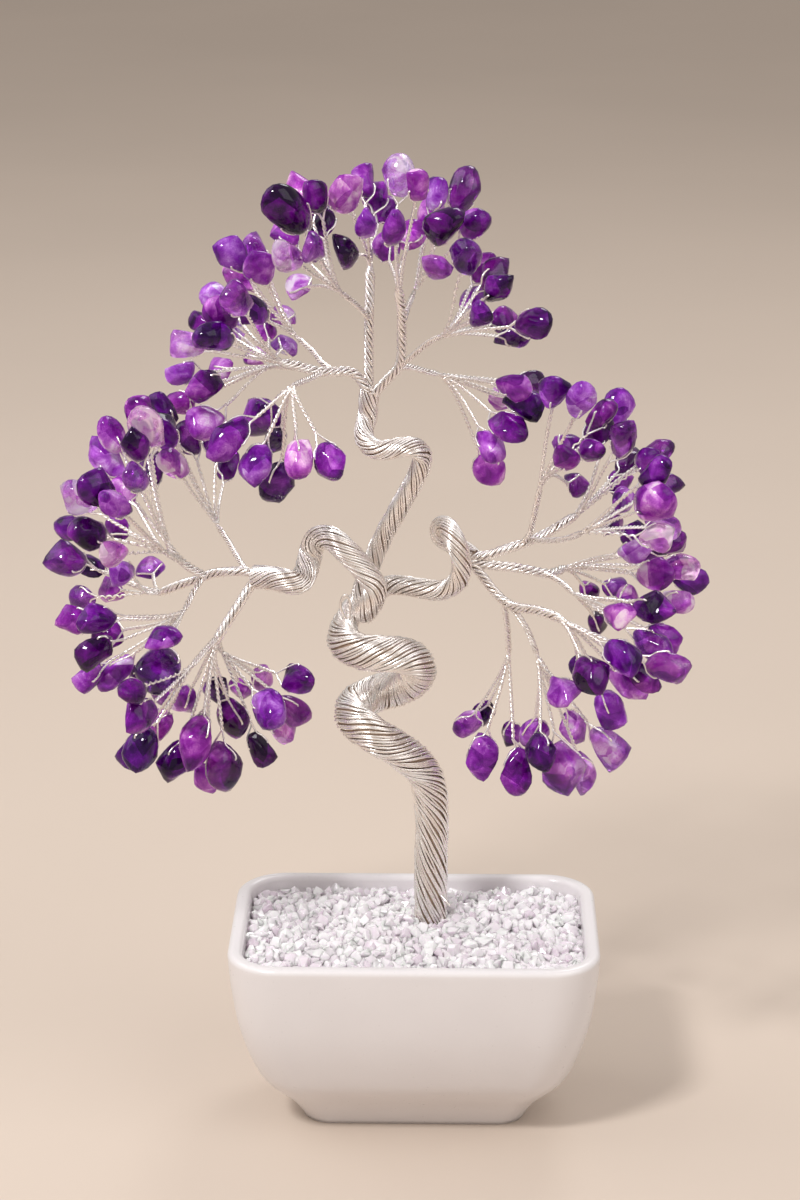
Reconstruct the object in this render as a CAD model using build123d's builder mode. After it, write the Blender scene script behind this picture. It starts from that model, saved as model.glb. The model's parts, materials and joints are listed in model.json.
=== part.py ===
"""Gemstone tree ornament: amethyst chips on a twisted wire tree in a glazed pot.

Sizes are in millimetres. Up is +Z, the front is -Y, and the origin is the middle of the
face that the pot stands on. The crown was set out from one front view: a chip has its
share across and up in that view, and moves along its line of sight as it gets its depth.
"""
import itertools
import math
import os
import random
from typing import NamedTuple

import numpy as np
from build123d import *

os.makedirs("parts", exist_ok=True)

# Overall sizes
tree_height = 266.0
crown_width = 172.0
crown_depth = 90.0
eye_across = 9.0
eye_distance = 758.0
eye_height = 401.0

# Pot
pot_width = 100.0
pot_depth = 66.0
pot_height = 55.0
pot_wall = 4.0
pot_floor = 6.0
pot_corner = 14.0
pot_foot_inset = 19.0
pot_foot_corner = 8.0
lip_drop = 1.2
lip_inset = 0.9
foot_recess = 1.5
foot_ring_width = 5.0
pot_facets_per_half = 8

# Fill in the pot
fill_clearance = 0.15
plaster_height = 34.0
gravel_edge_drop = 5.0
gravel_mound = 3.6
grain_size = 5.0
grain_sink = 0.9
grain_depth_share = 0.8
grain_thickness_share = 0.65
grain_rows = 4
grain_columns = 7
grain_stagger_share = 0.5
grain_seed = 4
full_turn_degrees = 360

# Trunk and limbs
trunk_radius = 4.8
limb_left_radius = 3.2
limb_top_radius = 2.6
limb_right_radius = 2.7
trunk_sides = 10
limb_sides = 8
trunk_bend_spacing = 6.5
limb_bend_spacing = 4.5
trunk_foot_rise = 6.0
least_bend_degrees = 9.0

# Stems and twigs
stem_radius = 1.35
stem_sides = 5
stem_bend_spacing = 7.0
twig_radius = 0.5
twig_sides = 3
twig_reach = 27.0
twig_root_share = 0.6
least_lean_share = 0.25

# Chips
chip_length = 13.0
chip_width = 10.2
chip_thickness = 5.8
chip_bevel = 2.1
chip_bevel_drop = 2.7
chip_turn_degrees = 35.0
socket_clearance = 0.12
socket_depth = 2.4
chip_gap = 0.3
depth_step = 2.5
sideways_step = 1.5
outward_step = 1.5
sideways_steps = 2
outward_steps = 4
depth_steps = 7

# Height share and inset share of the pot's outside, from the foot to below the lip
pot_profile_shares = (
    (0, 1), (0.074, 0.92), (0.143, 0.78), (0.213, 0.6), (0.29, 0.44), (0.414, 0.29), (0.537, 0.18),
    (0.66, 0.105), (0.83, 0.04),
)
pot_hollow_shares = (0, 0.22, 0.55, 1)
mound_share = 0.45

# Outlines of the kinds of chip, as shares of length and width from the drilled end
chip_outline_shares = (
    ((0, -0.2), (0, 0.22), (0.5, 0.52), (1, 0.08), (0.62, -0.48)),
    ((0, -0.24), (0, 0.2), (0.38, 0.5), (0.95, 0.3), (0.8, -0.42)),
    ((0, -0.18), (0, 0.2), (0.7, 0.45), (1.08, -0.05), (0.55, -0.4)),
    ((0, -0.3), (0, 0.2), (0.72, 0.44), (0.9, -0.36)),
)
facing_shares = (0.1, -1, 0.35)

# Routes, as shares of half the crown's width, half its depth and the tree's height
trunk_route_shares = (
    (0.051, 0.11, 0.255), (0.054, 0.11, 0.299), (0.050, 0.09, 0.334), (0.028, 0.02, 0.369),
    (-0.037, -0.09, 0.398), (-0.113, -0.16, 0.418), (-0.176, -0.09, 0.428), (-0.196, 0.02, 0.433),
    (-0.173, 0.13, 0.439), (-0.117, 0.18, 0.444), (-0.054, 0.13, 0.453), (-0.010, 0.02, 0.468),
    (0.010, -0.11, 0.488), (-0.020, -0.20, 0.506), (-0.093, -0.24, 0.511), (-0.167, -0.20, 0.511),
    (-0.217, -0.09, 0.515), (-0.218, 0.02, 0.524), (-0.197, 0.09, 0.537), (-0.173, 0.10, 0.550),
)
limb_left_route_shares = (
    (-0.166, 0.00, 0.534), (-0.134, -0.09, 0.555), (-0.122, -0.11, 0.572), (-0.143, -0.11, 0.585),
    (-0.179, -0.11, 0.600), (-0.218, -0.11, 0.613), (-0.258, -0.07, 0.621), (-0.300, 0.02, 0.616),
    (-0.320, 0.07, 0.599), (-0.331, 0.02, 0.585), (-0.351, -0.07, 0.576), (-0.396, -0.09, 0.578),
    (-0.443, -0.04, 0.578), (-0.493, 0.00, 0.577),
)
limb_top_route_shares = (
    (-0.183, 0.09, 0.536), (-0.165, 0.11, 0.557), (-0.128, 0.11, 0.591), (-0.096, 0.09, 0.616),
    (-0.059, 0.04, 0.641), (-0.019, 0.00, 0.667), (0.011, -0.02, 0.688), (0.020, -0.04, 0.705),
    (-0.004, -0.09, 0.715), (-0.040, -0.11, 0.716), (-0.082, -0.11, 0.713), (-0.124, -0.09, 0.713),
    (-0.151, -0.04, 0.719), (-0.155, 0.00, 0.729), (-0.143, 0.02, 0.742), (-0.140, 0.00, 0.756),
    (-0.137, 0.00, 0.767),
)
limb_right_route_shares = (
    (-0.155, 0.07, 0.536), (-0.128, 0.09, 0.552), (-0.094, 0.09, 0.562), (-0.053, 0.07, 0.565),
    (-0.007, 0.04, 0.565), (0.045, 0.02, 0.563), (0.094, 0.00, 0.565), (0.131, -0.04, 0.576),
    (0.142, -0.09, 0.593), (0.133, -0.11, 0.611), (0.115, -0.09, 0.624), (0.093, -0.02, 0.631),
    (0.075, 0.07, 0.625), (0.078, 0.13, 0.613), (0.109, 0.16, 0.604), (0.146, 0.13, 0.598),
    (0.176, 0.09, 0.593),
)

class Spray(NamedTuple):
    """A stem that frays into twigs, and the chips seen in front of it and behind it."""

    name: str
    carriers: tuple
    thickness_share: float
    route_shares: tuple
    front_shares: tuple
    back_shares: tuple


# Each chip is (share across, share up, size share) in the front view
spray_shares = (
    Spray("peak", ("limb_top",), 1,
          ((-0.137, 0.00, 0.762), (-0.140, 0.02, 0.777), (-0.140, 0.04, 0.811), (-0.139, 0.04, 0.841),
           (-0.137, 0.09, 0.863), (-0.137, 0.13, 0.889)),
          ((-0.20, 0.960, 1.0), (-0.21, 0.907, 0.95), (-0.14, 0.929, 0.8)),
          ((-0.15, 0.975, 0.8), (-0.10, 0.946, 0.8), (-0.10, 0.961, 0.8))),
    Spray("peak_left", ("peak",), 0.65,
          ((-0.139, 0.02, 0.838), (-0.176, -0.09, 0.856), (-0.226, -0.22, 0.874)),
          ((-0.37, 0.940, 1.2), (-0.38, 0.901, 0.95), (-0.30, 0.907, 0.8), (-0.27, 0.958, 0.8)),
          ((-0.33, 0.959, 0.9), (-0.39, 0.922, 0.8), (-0.28, 0.935, 0.8), (-0.35, 0.872, 0.85))),
    Spray("peak_front", ("limb_top", "peak"), 1,
          ((-0.124, -0.02, 0.765), (-0.085, -0.04, 0.780), (-0.046, -0.07, 0.797), (-0.040, -0.13, 0.831),
           (-0.039, -0.20, 0.853), (-0.050, -0.31, 0.883)),
          ((-0.06, 0.925, 0.9), (0.01, 0.968, 0.8)),
          ((-0.05, 0.978, 0.85), (-0.01, 0.923, 0.85), (-0.09, 0.910, 0.8))),
    Spray("peak_back", ("peak_front",), 0.65,
          ((-0.040, -0.13, 0.833), (-0.027, 0.09, 0.844), (-0.004, 0.31, 0.855)),
          ((0.08, 0.927, 1.2), (0.06, 0.888, 0.85), (0.16, 0.929, 0.85)),
          ((0.14, 0.962, 0.95), (0.08, 0.960, 0.8), (0.04, 0.942, 0.8))),
    Spray("peak_right", ("peak_front",), 0.65,
          ((-0.046, -0.07, 0.795), (-0.010, -0.11, 0.806), (0.038, -0.18, 0.822), (0.088, -0.27, 0.834)),
          ((0.15, 0.898, 0.9), (0.24, 0.868, 0.8), (0.19, 0.840, 0.85), (0.35, 0.833, 0.8)),
          ((0.20, 0.890, 0.8), (0.23, 0.884, 0.8), (0.18, 0.857, 0.95), (0.27, 0.836, 0.8),
           (0.30, 0.821, 0.8))),
    Spray("shoulder_right", ("peak_front", "peak_right"), 0.65,
          ((-0.052, -0.07, 0.794), (-0.017, 0.00, 0.791), (0.031, 0.09, 0.783), (0.082, 0.18, 0.775)),
          ((0.29, 0.770, 0.85), (0.33, 0.754, 0.95), (0.28, 0.731, 0.9), (0.23, 0.711, 0.8)),
          ((0.26, 0.759, 0.8), (0.35, 0.774, 0.8), (0.22, 0.687, 0.85))),
    Spray("shoulder_left_front", ("limb_top", "peak", "peak_front"), 1,
          ((-0.137, 0.00, 0.763), (-0.169, -0.02, 0.781), (-0.198, -0.04, 0.788), (-0.240, -0.07, 0.789),
           (-0.289, -0.11, 0.791), (-0.344, -0.18, 0.799), (-0.406, -0.27, 0.807)),
          ((-0.53, 0.856, 0.85), (-0.59, 0.818, 1.0), (-0.68, 0.812, 0.9), (-0.57, 0.843, 0.85)),
          ((-0.59, 0.862, 0.8), (-0.62, 0.834, 0.8), (-0.55, 0.828, 0.8))),
    Spray("shoulder_left_high", ("shoulder_left_front",), 0.65,
          ((-0.243, -0.07, 0.789), (-0.277, 0.00, 0.794), (-0.318, 0.11, 0.804), (-0.369, 0.22, 0.813)),
          ((-0.46, 0.888, 0.9), (-0.54, 0.900, 0.9), (-0.47, 0.843, 0.9)),
          ((-0.47, 0.907, 0.85), (-0.52, 0.881, 0.9), (-0.39, 0.842, 0.8))),
    Spray("shoulder_left_back", ("shoulder_left_front",), 0.65,
          ((-0.312, -0.13, 0.794), (-0.360, 0.09, 0.786), (-0.404, 0.27, 0.779), (-0.448, 0.40, 0.774)),
          ((-0.63, 0.772, 0.95), (-0.71, 0.784, 0.8), (-0.63, 0.748, 0.95)),
          ((-0.59, 0.789, 0.8), (-0.47, 0.801, 0.85), (-0.44, 0.829, 0.8), (-0.43, 0.810, 0.8),
           (-0.71, 0.753, 0.8))),
    Spray("shoulder_left_low", ("shoulder_left_front",), 0.65,
          ((-0.279, -0.12, 0.790), (-0.308, -0.22, 0.789), (-0.358, -0.44, 0.791)),
          ((-0.56, 0.719, 1.0), (-0.36, 0.697, 0.9), (-0.30, 0.697, 0.85), (-0.49, 0.693, 0.9)),
          ((-0.47, 0.742, 1.2), (-0.42, 0.715, 0.85), (-0.42, 0.672, 0.95))),
    Spray("left_middle", ("limb_left",), 1,
          ((-0.481, 0.00, 0.577), (-0.518, 0.02, 0.581), (-0.568, 0.04, 0.580), (-0.623, 0.09, 0.575),
           (-0.668, 0.13, 0.567), (-0.737, 0.20, 0.556), (-0.804, 0.29, 0.542)),
          ((-1.06, 0.595, 1.0), (-0.89, 0.580, 0.9)),
          ((-0.99, 0.588, 0.8), (-0.81, 0.587, 0.85), (-1.03, 0.554, 0.8), (-0.94, 0.563, 0.85))),
    Spray("left_inner", ("left_middle", "limb_left"), 0.65,
          ((-0.512, 0.02, 0.580), (-0.539, 0.09, 0.588), (-0.580, 0.22, 0.602), (-0.622, 0.36, 0.613)),
          ((-0.73, 0.692, 0.9), (-0.75, 0.727, 0.85)),
          ((-0.68, 0.721, 0.8), (-0.62, 0.718, 0.8), (-0.76, 0.750, 0.8), (-0.57, 0.695, 0.8))),
    Spray("left_upper_back", ("left_middle",), 0.9,
          ((-0.645, 0.11, 0.571), (-0.691, 0.04, 0.584), (-0.730, -0.02, 0.599), (-0.758, -0.04, 0.615)),
          ((-0.81, 0.729, 1.0), (-0.84, 0.709, 0.8), (-0.84, 0.677, 0.9)),
          ((-0.91, 0.723, 0.8), (-0.83, 0.744, 0.8), (-0.94, 0.697, 0.95), (-0.80, 0.689, 0.85))),
    Spray("left_upper_front", ("left_upper_back",), 0.65,
          ((-0.710, -0.01, 0.592), (-0.728, -0.18, 0.606), (-0.749, -0.40, 0.625)),
          ((-0.96, 0.666, 0.95), (-1.00, 0.623, 0.95), (-0.91, 0.651, 0.9), (-0.92, 0.602, 0.85)),
          ((-1.03, 0.657, 0.9), (-0.91, 0.627, 0.8), (-1.04, 0.626, 0.8), (-0.88, 0.669, 0.8))),
    Spray("left_lower", ("left_middle", "left_upper_back"), 0.65,
          ((-0.655, 0.11, 0.570), (-0.677, 0.04, 0.561), (-0.695, -0.04, 0.552), (-0.707, -0.13, 0.546)),
          ((-0.77, 0.515, 0.95), (-0.80, 0.481, 1.2), (-0.97, 0.533, 0.9), (-0.99, 0.497, 1.0)),
          ((-1.05, 0.531, 0.85), (-0.96, 0.515, 0.85), (-0.93, 0.478, 0.95), (-1.02, 0.470, 0.8))),
    Spray("left_bottom_front", ("limb_left", "left_middle"), 1,
          ((-0.481, 0.00, 0.576), (-0.508, -0.04, 0.567), (-0.547, -0.09, 0.548), (-0.580, -0.13, 0.533),
           (-0.616, -0.18, 0.514)),
          ((-0.75, 0.391, 0.95), (-0.60, 0.374, 1.2), (-0.68, 0.391, 1.1)),
          ((-0.72, 0.445, 0.85), (-0.57, 0.425, 0.95), (-0.66, 0.362, 0.8), (-0.62, 0.457, 0.8),
           (-0.67, 0.418, 0.8))),
    Spray("left_bottom_outer", ("left_bottom_front",), 0.65,
          ((-0.601, -0.16, 0.523), (-0.637, -0.33, 0.518), (-0.673, -0.49, 0.510)),
          ((-0.89, 0.431, 1.0), (-0.86, 0.393, 1.0), (-0.91, 0.457, 0.8)),
          ((-0.93, 0.400, 0.8), (-0.82, 0.454, 0.8), (-0.80, 0.422, 0.8),
           (-0.89, 0.459, 0.8))),
    Spray("left_bottom_back", ("left_bottom_front",), 0.65,
          ((-0.598, -0.16, 0.524), (-0.609, 0.09, 0.500), (-0.609, 0.31, 0.479)),
          ((-0.48, 0.392, 0.85), (-0.46, 0.438, 1.0), (-0.36, 0.465, 0.9)),
          ((-0.54, 0.459, 0.8), (-0.41, 0.415, 0.9), (-0.37, 0.435, 0.85), (-0.49, 0.469, 0.8))),
    Spray("right_upper_back", ("limb_right",), 1,
          ((0.167, 0.09, 0.594), (0.225, 0.09, 0.596), (0.274, 0.09, 0.602), (0.338, 0.11, 0.608),
           (0.406, 0.16, 0.616), (0.455, 0.20, 0.624), (0.504, 0.22, 0.633)),
          ((0.62, 0.717, 0.9), (0.70, 0.697, 0.8)),
          ((0.61, 0.750, 0.85), (0.65, 0.698, 0.8), (0.72, 0.705, 0.8), (0.62, 0.676, 0.85))),
    Spray("right_inner", ("right_upper_back",), 0.65,
          ((0.326, 0.11, 0.607), (0.349, 0.04, 0.621), (0.364, -0.09, 0.654), (0.377, -0.18, 0.684)),
          ((0.42, 0.766, 0.85), (0.46, 0.699, 0.8), (0.50, 0.757, 0.85), (0.53, 0.706, 0.8)),
          ((0.46, 0.716, 0.8), (0.49, 0.674, 0.8), (0.55, 0.727, 0.8), (0.57, 0.733, 0.8))),
    Spray("right_upper_front", ("right_upper_back",), 0.65,
          ((0.351, 0.11, 0.611), (0.409, -0.04, 0.618), (0.460, -0.20, 0.629), (0.504, -0.36, 0.644)),
          ((0.72, 0.652, 1.1), (0.73, 0.618, 0.8), (0.72, 0.684, 0.8)),
          ((0.76, 0.674, 0.8), (0.76, 0.631, 0.8), (0.67, 0.622, 0.8), (0.63, 0.656, 0.8),
           (0.62, 0.643, 0.8))),
    Spray("right_middle_back", ("limb_right", "right_upper_back"), 1,
          ((0.170, 0.09, 0.590), (0.210, 0.09, 0.586), (0.305, 0.09, 0.583), (0.401, 0.13, 0.575),
           (0.434, 0.22, 0.572), (0.466, 0.31, 0.572)),
          ((0.73, 0.582, 0.9), (0.81, 0.590, 0.9), (0.66, 0.605, 0.8)),
          ((0.74, 0.606, 0.8), (0.84, 0.574, 0.8), (0.78, 0.612, 0.8), (0.61, 0.567, 0.8),
           (0.57, 0.563, 0.9))),
    Spray("right_middle", ("right_middle_back",), 0.65,
          ((0.389, 0.13, 0.576), (0.440, 0.04, 0.572), (0.490, -0.09, 0.564)),
          ((0.73, 0.547, 1.0), (0.62, 0.540, 0.85), (0.72, 0.507, 0.9)),
          ((0.81, 0.550, 0.8), (0.65, 0.555, 0.8), (0.77, 0.513, 0.85), (0.56, 0.531, 0.8))),
    Spray("right_lower_front", ("limb_right", "right_upper_back", "right_middle_back"), 1,
          ((0.160, 0.10, 0.591), (0.198, 0.07, 0.578), (0.247, 0.00, 0.561), (0.296, -0.09, 0.553),
           (0.378, -0.27, 0.558), (0.451, -0.44, 0.558)),
          ((0.64, 0.495, 1.0), (0.54, 0.476, 1.0), (0.78, 0.482, 0.9)),
          ((0.66, 0.467, 0.9), (0.51, 0.483, 0.8), (0.71, 0.474, 0.8), (0.61, 0.442, 1.0))),
    Spray("right_bottom", ("right_lower_front",), 0.65,
          ((0.284, -0.07, 0.555), (0.320, -0.09, 0.541), (0.352, -0.11, 0.523), (0.380, -0.13, 0.498)),
          ((0.45, 0.460, 1.0), (0.60, 0.400, 1.1), (0.46, 0.375, 1.2), (0.39, 0.392, 0.9)),
          ((0.49, 0.422, 0.95), (0.53, 0.369, 0.95), (0.37, 0.412, 0.85))),
    Spray("right_bottom_inner", ("right_lower_front",), 0.65,
          ((0.268, -0.04, 0.558), (0.279, 0.04, 0.536), (0.287, 0.13, 0.511), (0.292, 0.22, 0.481)),
          ((0.20, 0.386, 1.0), (0.31, 0.373, 1.0)),
          ((0.30, 0.412, 0.8), (0.16, 0.420, 0.8), (0.21, 0.431, 0.8))),
)


def keep(part, name):
    """Label a finished sub-part, write its STEP file and hand it back."""
    part.label = name
    export_step(part, f"parts/{name}.step")
    return part


def place(across_share, back_share, up_share):
    """A point of a route, from its shares of the crown's and the tree's sizes."""
    return Vector(across_share * crown_width / 2, back_share * crown_depth / 2, up_share * tree_height)


def seen_at(across, up, depth):
    """The point at this depth that is seen where a point of the front plane is seen."""
    eye = Vector(eye_across, -eye_distance, eye_height)
    flat = Vector(across, 0, up)
    return eye + (flat - eye) * (1 + depth / eye_distance)


class Keepout:
    """A convex piece that others keep clear of: its corners, a skin round them and its bunch.

    The directions are those that its faces look in. Wires of one bunch may touch.
    """

    def __init__(self, corners, skin, directions, bunch):
        self.corners = np.array(corners)
        self.skin = skin
        self.directions = np.array(directions)
        self.bunch = bunch
        self.middle = self.corners.mean(axis=0)
        self.reach = np.linalg.norm(self.corners - self.middle, axis=1).max() + skin

    def gap_to(self, other):
        """The widest gap that shows between two pieces from any of their own directions."""
        crossed = np.cross(self.directions[:3, None], other.directions[None, :3]).reshape(-1, 3)
        between = (other.middle - self.middle)[None]
        views = np.vstack([self.directions, other.directions, crossed, between])
        lengths = np.linalg.norm(views, axis=1)
        views = views[lengths > 0] / lengths[lengths > 0, None]
        mine = self.corners @ views.T
        theirs = other.corners @ views.T
        gaps = np.maximum(theirs.min(axis=0) - mine.max(axis=0), mine.min(axis=0) - theirs.max(axis=0))
        return gaps.max() - self.skin - other.skin


def wire_keepout(start, end, radius, bunch):
    """The keepout of a straight stretch of wire."""
    along = (end - start).normalized()
    return Keepout([tuple(start), tuple(end)], radius, [tuple(along)], bunch)


def least_gap(piece, others, enough):
    """The smallest gap from a piece to the others near it, or enough if none is nearer."""
    middles = np.array([other.middle for other in others])
    reaches = np.array([other.reach for other in others])
    apart = np.linalg.norm(middles - piece.middle, axis=1) - reaches - piece.reach
    smallest = enough
    for index in np.flatnonzero(apart < enough):
        other = others[index]
        if piece.bunch is None or piece.bunch != other.bunch:
            smallest = min(smallest, piece.gap_to(other))
    return smallest


def bends(points, spacing):
    """The corners of a bent bundle of wires: a smooth route walked in equal steps.

    Where the route runs straight on, it gets no corner.
    """
    with BuildLine() as route:
        Spline(*points)
    edge = route.edges()[0]
    count = max(2, round(edge.length / spacing))
    walked = [edge.position_at(step / count) for step in range(count + 1)]
    corners = walked[:1]
    for here, after in zip(walked[1:-1], walked[2:]):
        if (here - corners[-1]).get_angle(after - here) > least_bend_degrees:
            corners.append(here)
    return corners + walked[-1:]


def bundle_keepouts(corners, radius, bunch):
    """The keepouts of a bent bundle, one for each straight stretch."""
    return [wire_keepout(start, end, radius, bunch) for start, end in zip(corners[:-1], corners[1:])]


def build_bundle(name, corners, radius, sides, carriers):
    """A bare bundle of twisted wires, cut where the pieces that carry it take its place."""
    with BuildPart() as bundle:
        with BuildLine() as route:
            Polyline(*corners)
        with BuildSketch(Plane(origin=corners[0], z_dir=corners[1] - corners[0])):
            RegularPolygon(radius=radius, side_count=sides)
        sweep(transition=Transition.RIGHT)
        for carrier in carriers:
            add(carrier, mode=Mode.SUBTRACT)
    return keep(bundle.part, name)


class Level(NamedTuple):
    """The pot's outline at a height: how far it is drawn in, how far behind that surface a
    hollow or a fill runs, and the share of the outline that is left.
    """

    height: float
    inset: float
    behind: float
    share: float = 1

    def reach(self, turn):
        """How far the rounded outline reaches from the middle in a direction."""
        corner = pot_corner + (pot_foot_corner - pot_corner) * self.inset / pot_foot_inset
        straight_across = pot_width / 2 - self.inset - corner
        straight_back = pot_depth / 2 - self.inset - corner
        sides = straight_across * abs(math.cos(turn)) + straight_back * abs(math.sin(turn))
        return (sides + corner - self.behind) * self.share


def build_facets(levels):
    """A body with flat facets all round: one profile for each direction, and what they share."""
    with BuildPart() as faceted:
        for step in range(pot_facets_per_half):
            turn = math.pi * step / pot_facets_per_half
            right = [(level.reach(turn), level.height) for level in levels]
            left = [(-reach, height) for reach, height in reversed(right)]
            across = Vector(math.cos(turn), math.sin(turn), 0)
            with BuildSketch(Plane(origin=(0, 0, 0), x_dir=across, z_dir=across.cross(Vector(0, 0, 1)))):
                Polygon(*right, *left, align=None)
            extrude(amount=pot_width, both=True, mode=Mode.INTERSECT if step else Mode.ADD)
    return faceted.part


def outside_levels():
    """The levels of the pot's outside, from its foot to its softened lip."""
    levels = [Level(rise * pot_height, inset * pot_foot_inset, 0) for rise, inset in pot_profile_shares]
    return levels + [Level(pot_height - lip_drop, 0, 0), Level(pot_height, 0, lip_inset)]


def hollow_levels(low, high, clearance):
    """The levels of the pot's hollow between two heights, drawn in by a clearance."""
    outside = outside_levels()
    outside_heights = [level.height for level in outside]
    outside_insets = [level.inset for level in outside]
    rise = pot_height - lip_drop - pot_floor
    heights = [pot_floor + rise * share for share in pot_hollow_shares]
    insets = np.interp(heights, outside_heights, outside_insets)
    kept = [low] + [height for height in heights if low < height < high] + [high]
    return [Level(height, float(np.interp(height, heights, insets)), pot_wall + clearance)
            for height in kept]


def build_pot():
    """The glazed pot: a curved belly on a short foot, hollow, with a softened lip."""
    hollow = hollow_levels(pot_floor, pot_height - lip_drop, 0)
    hollow.append(Level(pot_height, 0, pot_wall - lip_inset))
    recess = [Level(height, pot_foot_inset, foot_ring_width) for height in (0, foot_recess)]
    with BuildPart() as pot:
        add(build_facets(outside_levels()))
        add(build_facets(hollow), mode=Mode.SUBTRACT)
        add(build_facets(recess), mode=Mode.SUBTRACT)
    keep(pot.part, "pot")


def build_plaster(trunk):
    """The plaster that holds the foot of the trunk, hidden under the gravel."""
    with BuildPart() as plaster_fill:
        add(build_facets(hollow_levels(pot_floor, plaster_height, fill_clearance)))
        add(trunk, mode=Mode.SUBTRACT)
    keep(plaster_fill.part, "plaster_fill")


def grain_places(edge):
    """Places for the biggest grains, in staggered rows over the heap, clear of the trunk."""
    trunk_place = place(*trunk_route_shares[0])
    reach_across = edge.reach(0)
    reach_back = edge.reach(math.pi / 2)
    places = []
    for row in range(grain_rows):
        back_share = (row * 2 + 1) / grain_rows - 1
        for column in range(grain_columns):
            across_share = (column * 2 + grain_stagger_share + row % 2) / grain_columns - 1
            farthest_share = max(abs(across_share), abs(back_share))
            rise_share = min(1, (1 - farthest_share) / (1 - mound_share))
            across = across_share * (reach_across - grain_size)
            back = back_share * (reach_back - grain_size)
            if math.hypot(across - trunk_place.X, back - trunk_place.Y) > trunk_radius + grain_size:
                places.append((across, back, edge.height + rise_share * gravel_mound - grain_sink))
    return places


def build_gravel(trunk):
    """The bed of quartz gravel, heaped a little towards the middle, with its biggest grains."""
    levels = hollow_levels(plaster_height, pot_height - gravel_edge_drop, fill_clearance)
    edge = levels[-1]
    levels.append(edge._replace(height=edge.height + gravel_mound, share=mound_share))
    chance = random.Random(grain_seed)
    with BuildPart() as gravel_bed:
        add(build_facets(levels))
        for grain_place in grain_places(edge):
            turns = tuple(chance.uniform(0, full_turn_degrees) for _ in range(3))
            with Locations(grain_place):
                Box(grain_size, grain_size * grain_depth_share, grain_size * grain_thickness_share,
                    rotation=turns)
        add(trunk, mode=Mode.SUBTRACT)
    keep(gravel_bed.part, "gravel_bed")


class ChipShape(NamedTuple):
    """A tumbled chip in its own frame: +X runs inwards from its drilled end, +Z is its face."""

    solid: Part
    corners: np.ndarray
    directions: np.ndarray
    length: float


def build_chip_shape(outline_shares, size_share):
    """A flat stone with a bevelled rim, and the blind socket that its wire is seated in."""
    length = chip_length * size_share
    outline = [(along * length, across * chip_width * size_share) for along, across in outline_shares]
    with BuildPart() as blank:
        with BuildSketch():
            Polygon(*outline, align=None)
        extrude(amount=chip_thickness * size_share / 2, both=True)
        front = blank.faces().sort_by(Axis.Z)[-1]
        chamfer(front.edges(), length=chip_bevel * size_share, length2=chip_bevel_drop * size_share,
                reference=front)
    corners = np.array([tuple(vertex) for vertex in blank.vertices()])
    directions = [(1, 0, 0), (0, 1, 0), (0, 0, 1)]
    directions += [tuple(face.normal_at()) for face in blank.faces()]
    with BuildPart() as stone:
        add(blank.part)
        with BuildSketch(Plane.YZ):
            RegularPolygon(radius=twig_radius + 2 * socket_clearance, side_count=twig_sides)
        extrude(amount=socket_depth, mode=Mode.SUBTRACT)
    return ChipShape(stone.part, corners, np.array(directions), length)


class Stem(NamedTuple):
    """A bare stem: its name, the corners that it bends at and its radius."""

    name: str
    corners: list
    radius: float

    def root_towards(self, middle):
        """Where the twig of a chip leaves the end of the stem, on the side of the chip."""
        tip = self.corners[-1]
        along = (tip - self.corners[-2]).normalized()
        leaning = middle - tip
        aside = (leaning - along * leaning.dot(along)).normalized()
        return tip + (aside - along) * (self.radius * twig_root_share)


class Chip(NamedTuple):
    """A chip in its place: its shape, the plane of its frame, its twig's root and the keepouts."""

    shape: ChipShape
    frame: Plane
    root: Vector
    keepout: Keepout
    twig: Keepout


def seat_chip(stem, middle, shape, turn):
    """Set a chip on the end of a straight twig, its broad face turned to the front."""
    root = stem.root_towards(middle)
    along = (middle - root).normalized()
    facing = Vector(*facing_shares)
    face = (facing - along * facing.dot(along)).normalized().rotate(Axis((0, 0, 0), along), turn)
    frame = Plane(origin=middle - along * (shape.length / 2), x_dir=along, z_dir=face)
    axes = np.array([tuple(frame.x_dir), tuple(frame.y_dir), tuple(frame.z_dir)])
    corners = shape.corners @ axes + np.array(tuple(frame.origin))
    keepout = Keepout(corners, 0, shape.directions @ axes, None)
    return Chip(shape, frame, root, keepout, wire_keepout(root, frame.origin, twig_radius, stem.name))


def search_steps():
    """Steps in depth, sideways, up and outwards that a chip may move by, the shortest first."""
    depth = range(-depth_steps, depth_steps + 1)
    sideways = range(-sideways_steps, sideways_steps + 1)
    outward = range(outward_steps + 1)
    steps = itertools.product(depth, sideways, sideways, outward)
    return sorted(steps, key=lambda step: sum(abs(count) for count in step))


def place_chip(stem, wanted, side, shape, turn, keepouts):
    """Find a chip the first place where it and its twig are clear, or else the clearest one."""
    tip = stem.corners[-1]
    flat = place(wanted[0], 0, wanted[1])
    offset = math.hypot(flat.X - tip.X, flat.Z - tip.Z)
    lean = math.sqrt(max(twig_reach**2 - offset**2, (least_lean_share * twig_reach) ** 2))
    best = None
    best_gap = -math.inf
    for depth, sideways, up, outward in search_steps():
        across = flat.X + sideways * sideways_step
        middle = seen_at(across, flat.Z + up * sideways_step, tip.Y + side * lean + depth * depth_step)
        middle += (middle - tip).normalized() * (outward * outward_step)
        chip = seat_chip(stem, middle, shape, turn)
        gap = least_gap(chip.keepout, keepouts, chip_gap)
        if gap > best_gap:
            gap = min(gap, least_gap(chip.twig, keepouts, chip_gap))
        if gap > best_gap:
            best = chip
            best_gap = gap
        if gap >= chip_gap:
            break
    keepouts.extend([best.keepout, best.twig])
    return best, best_gap


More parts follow.
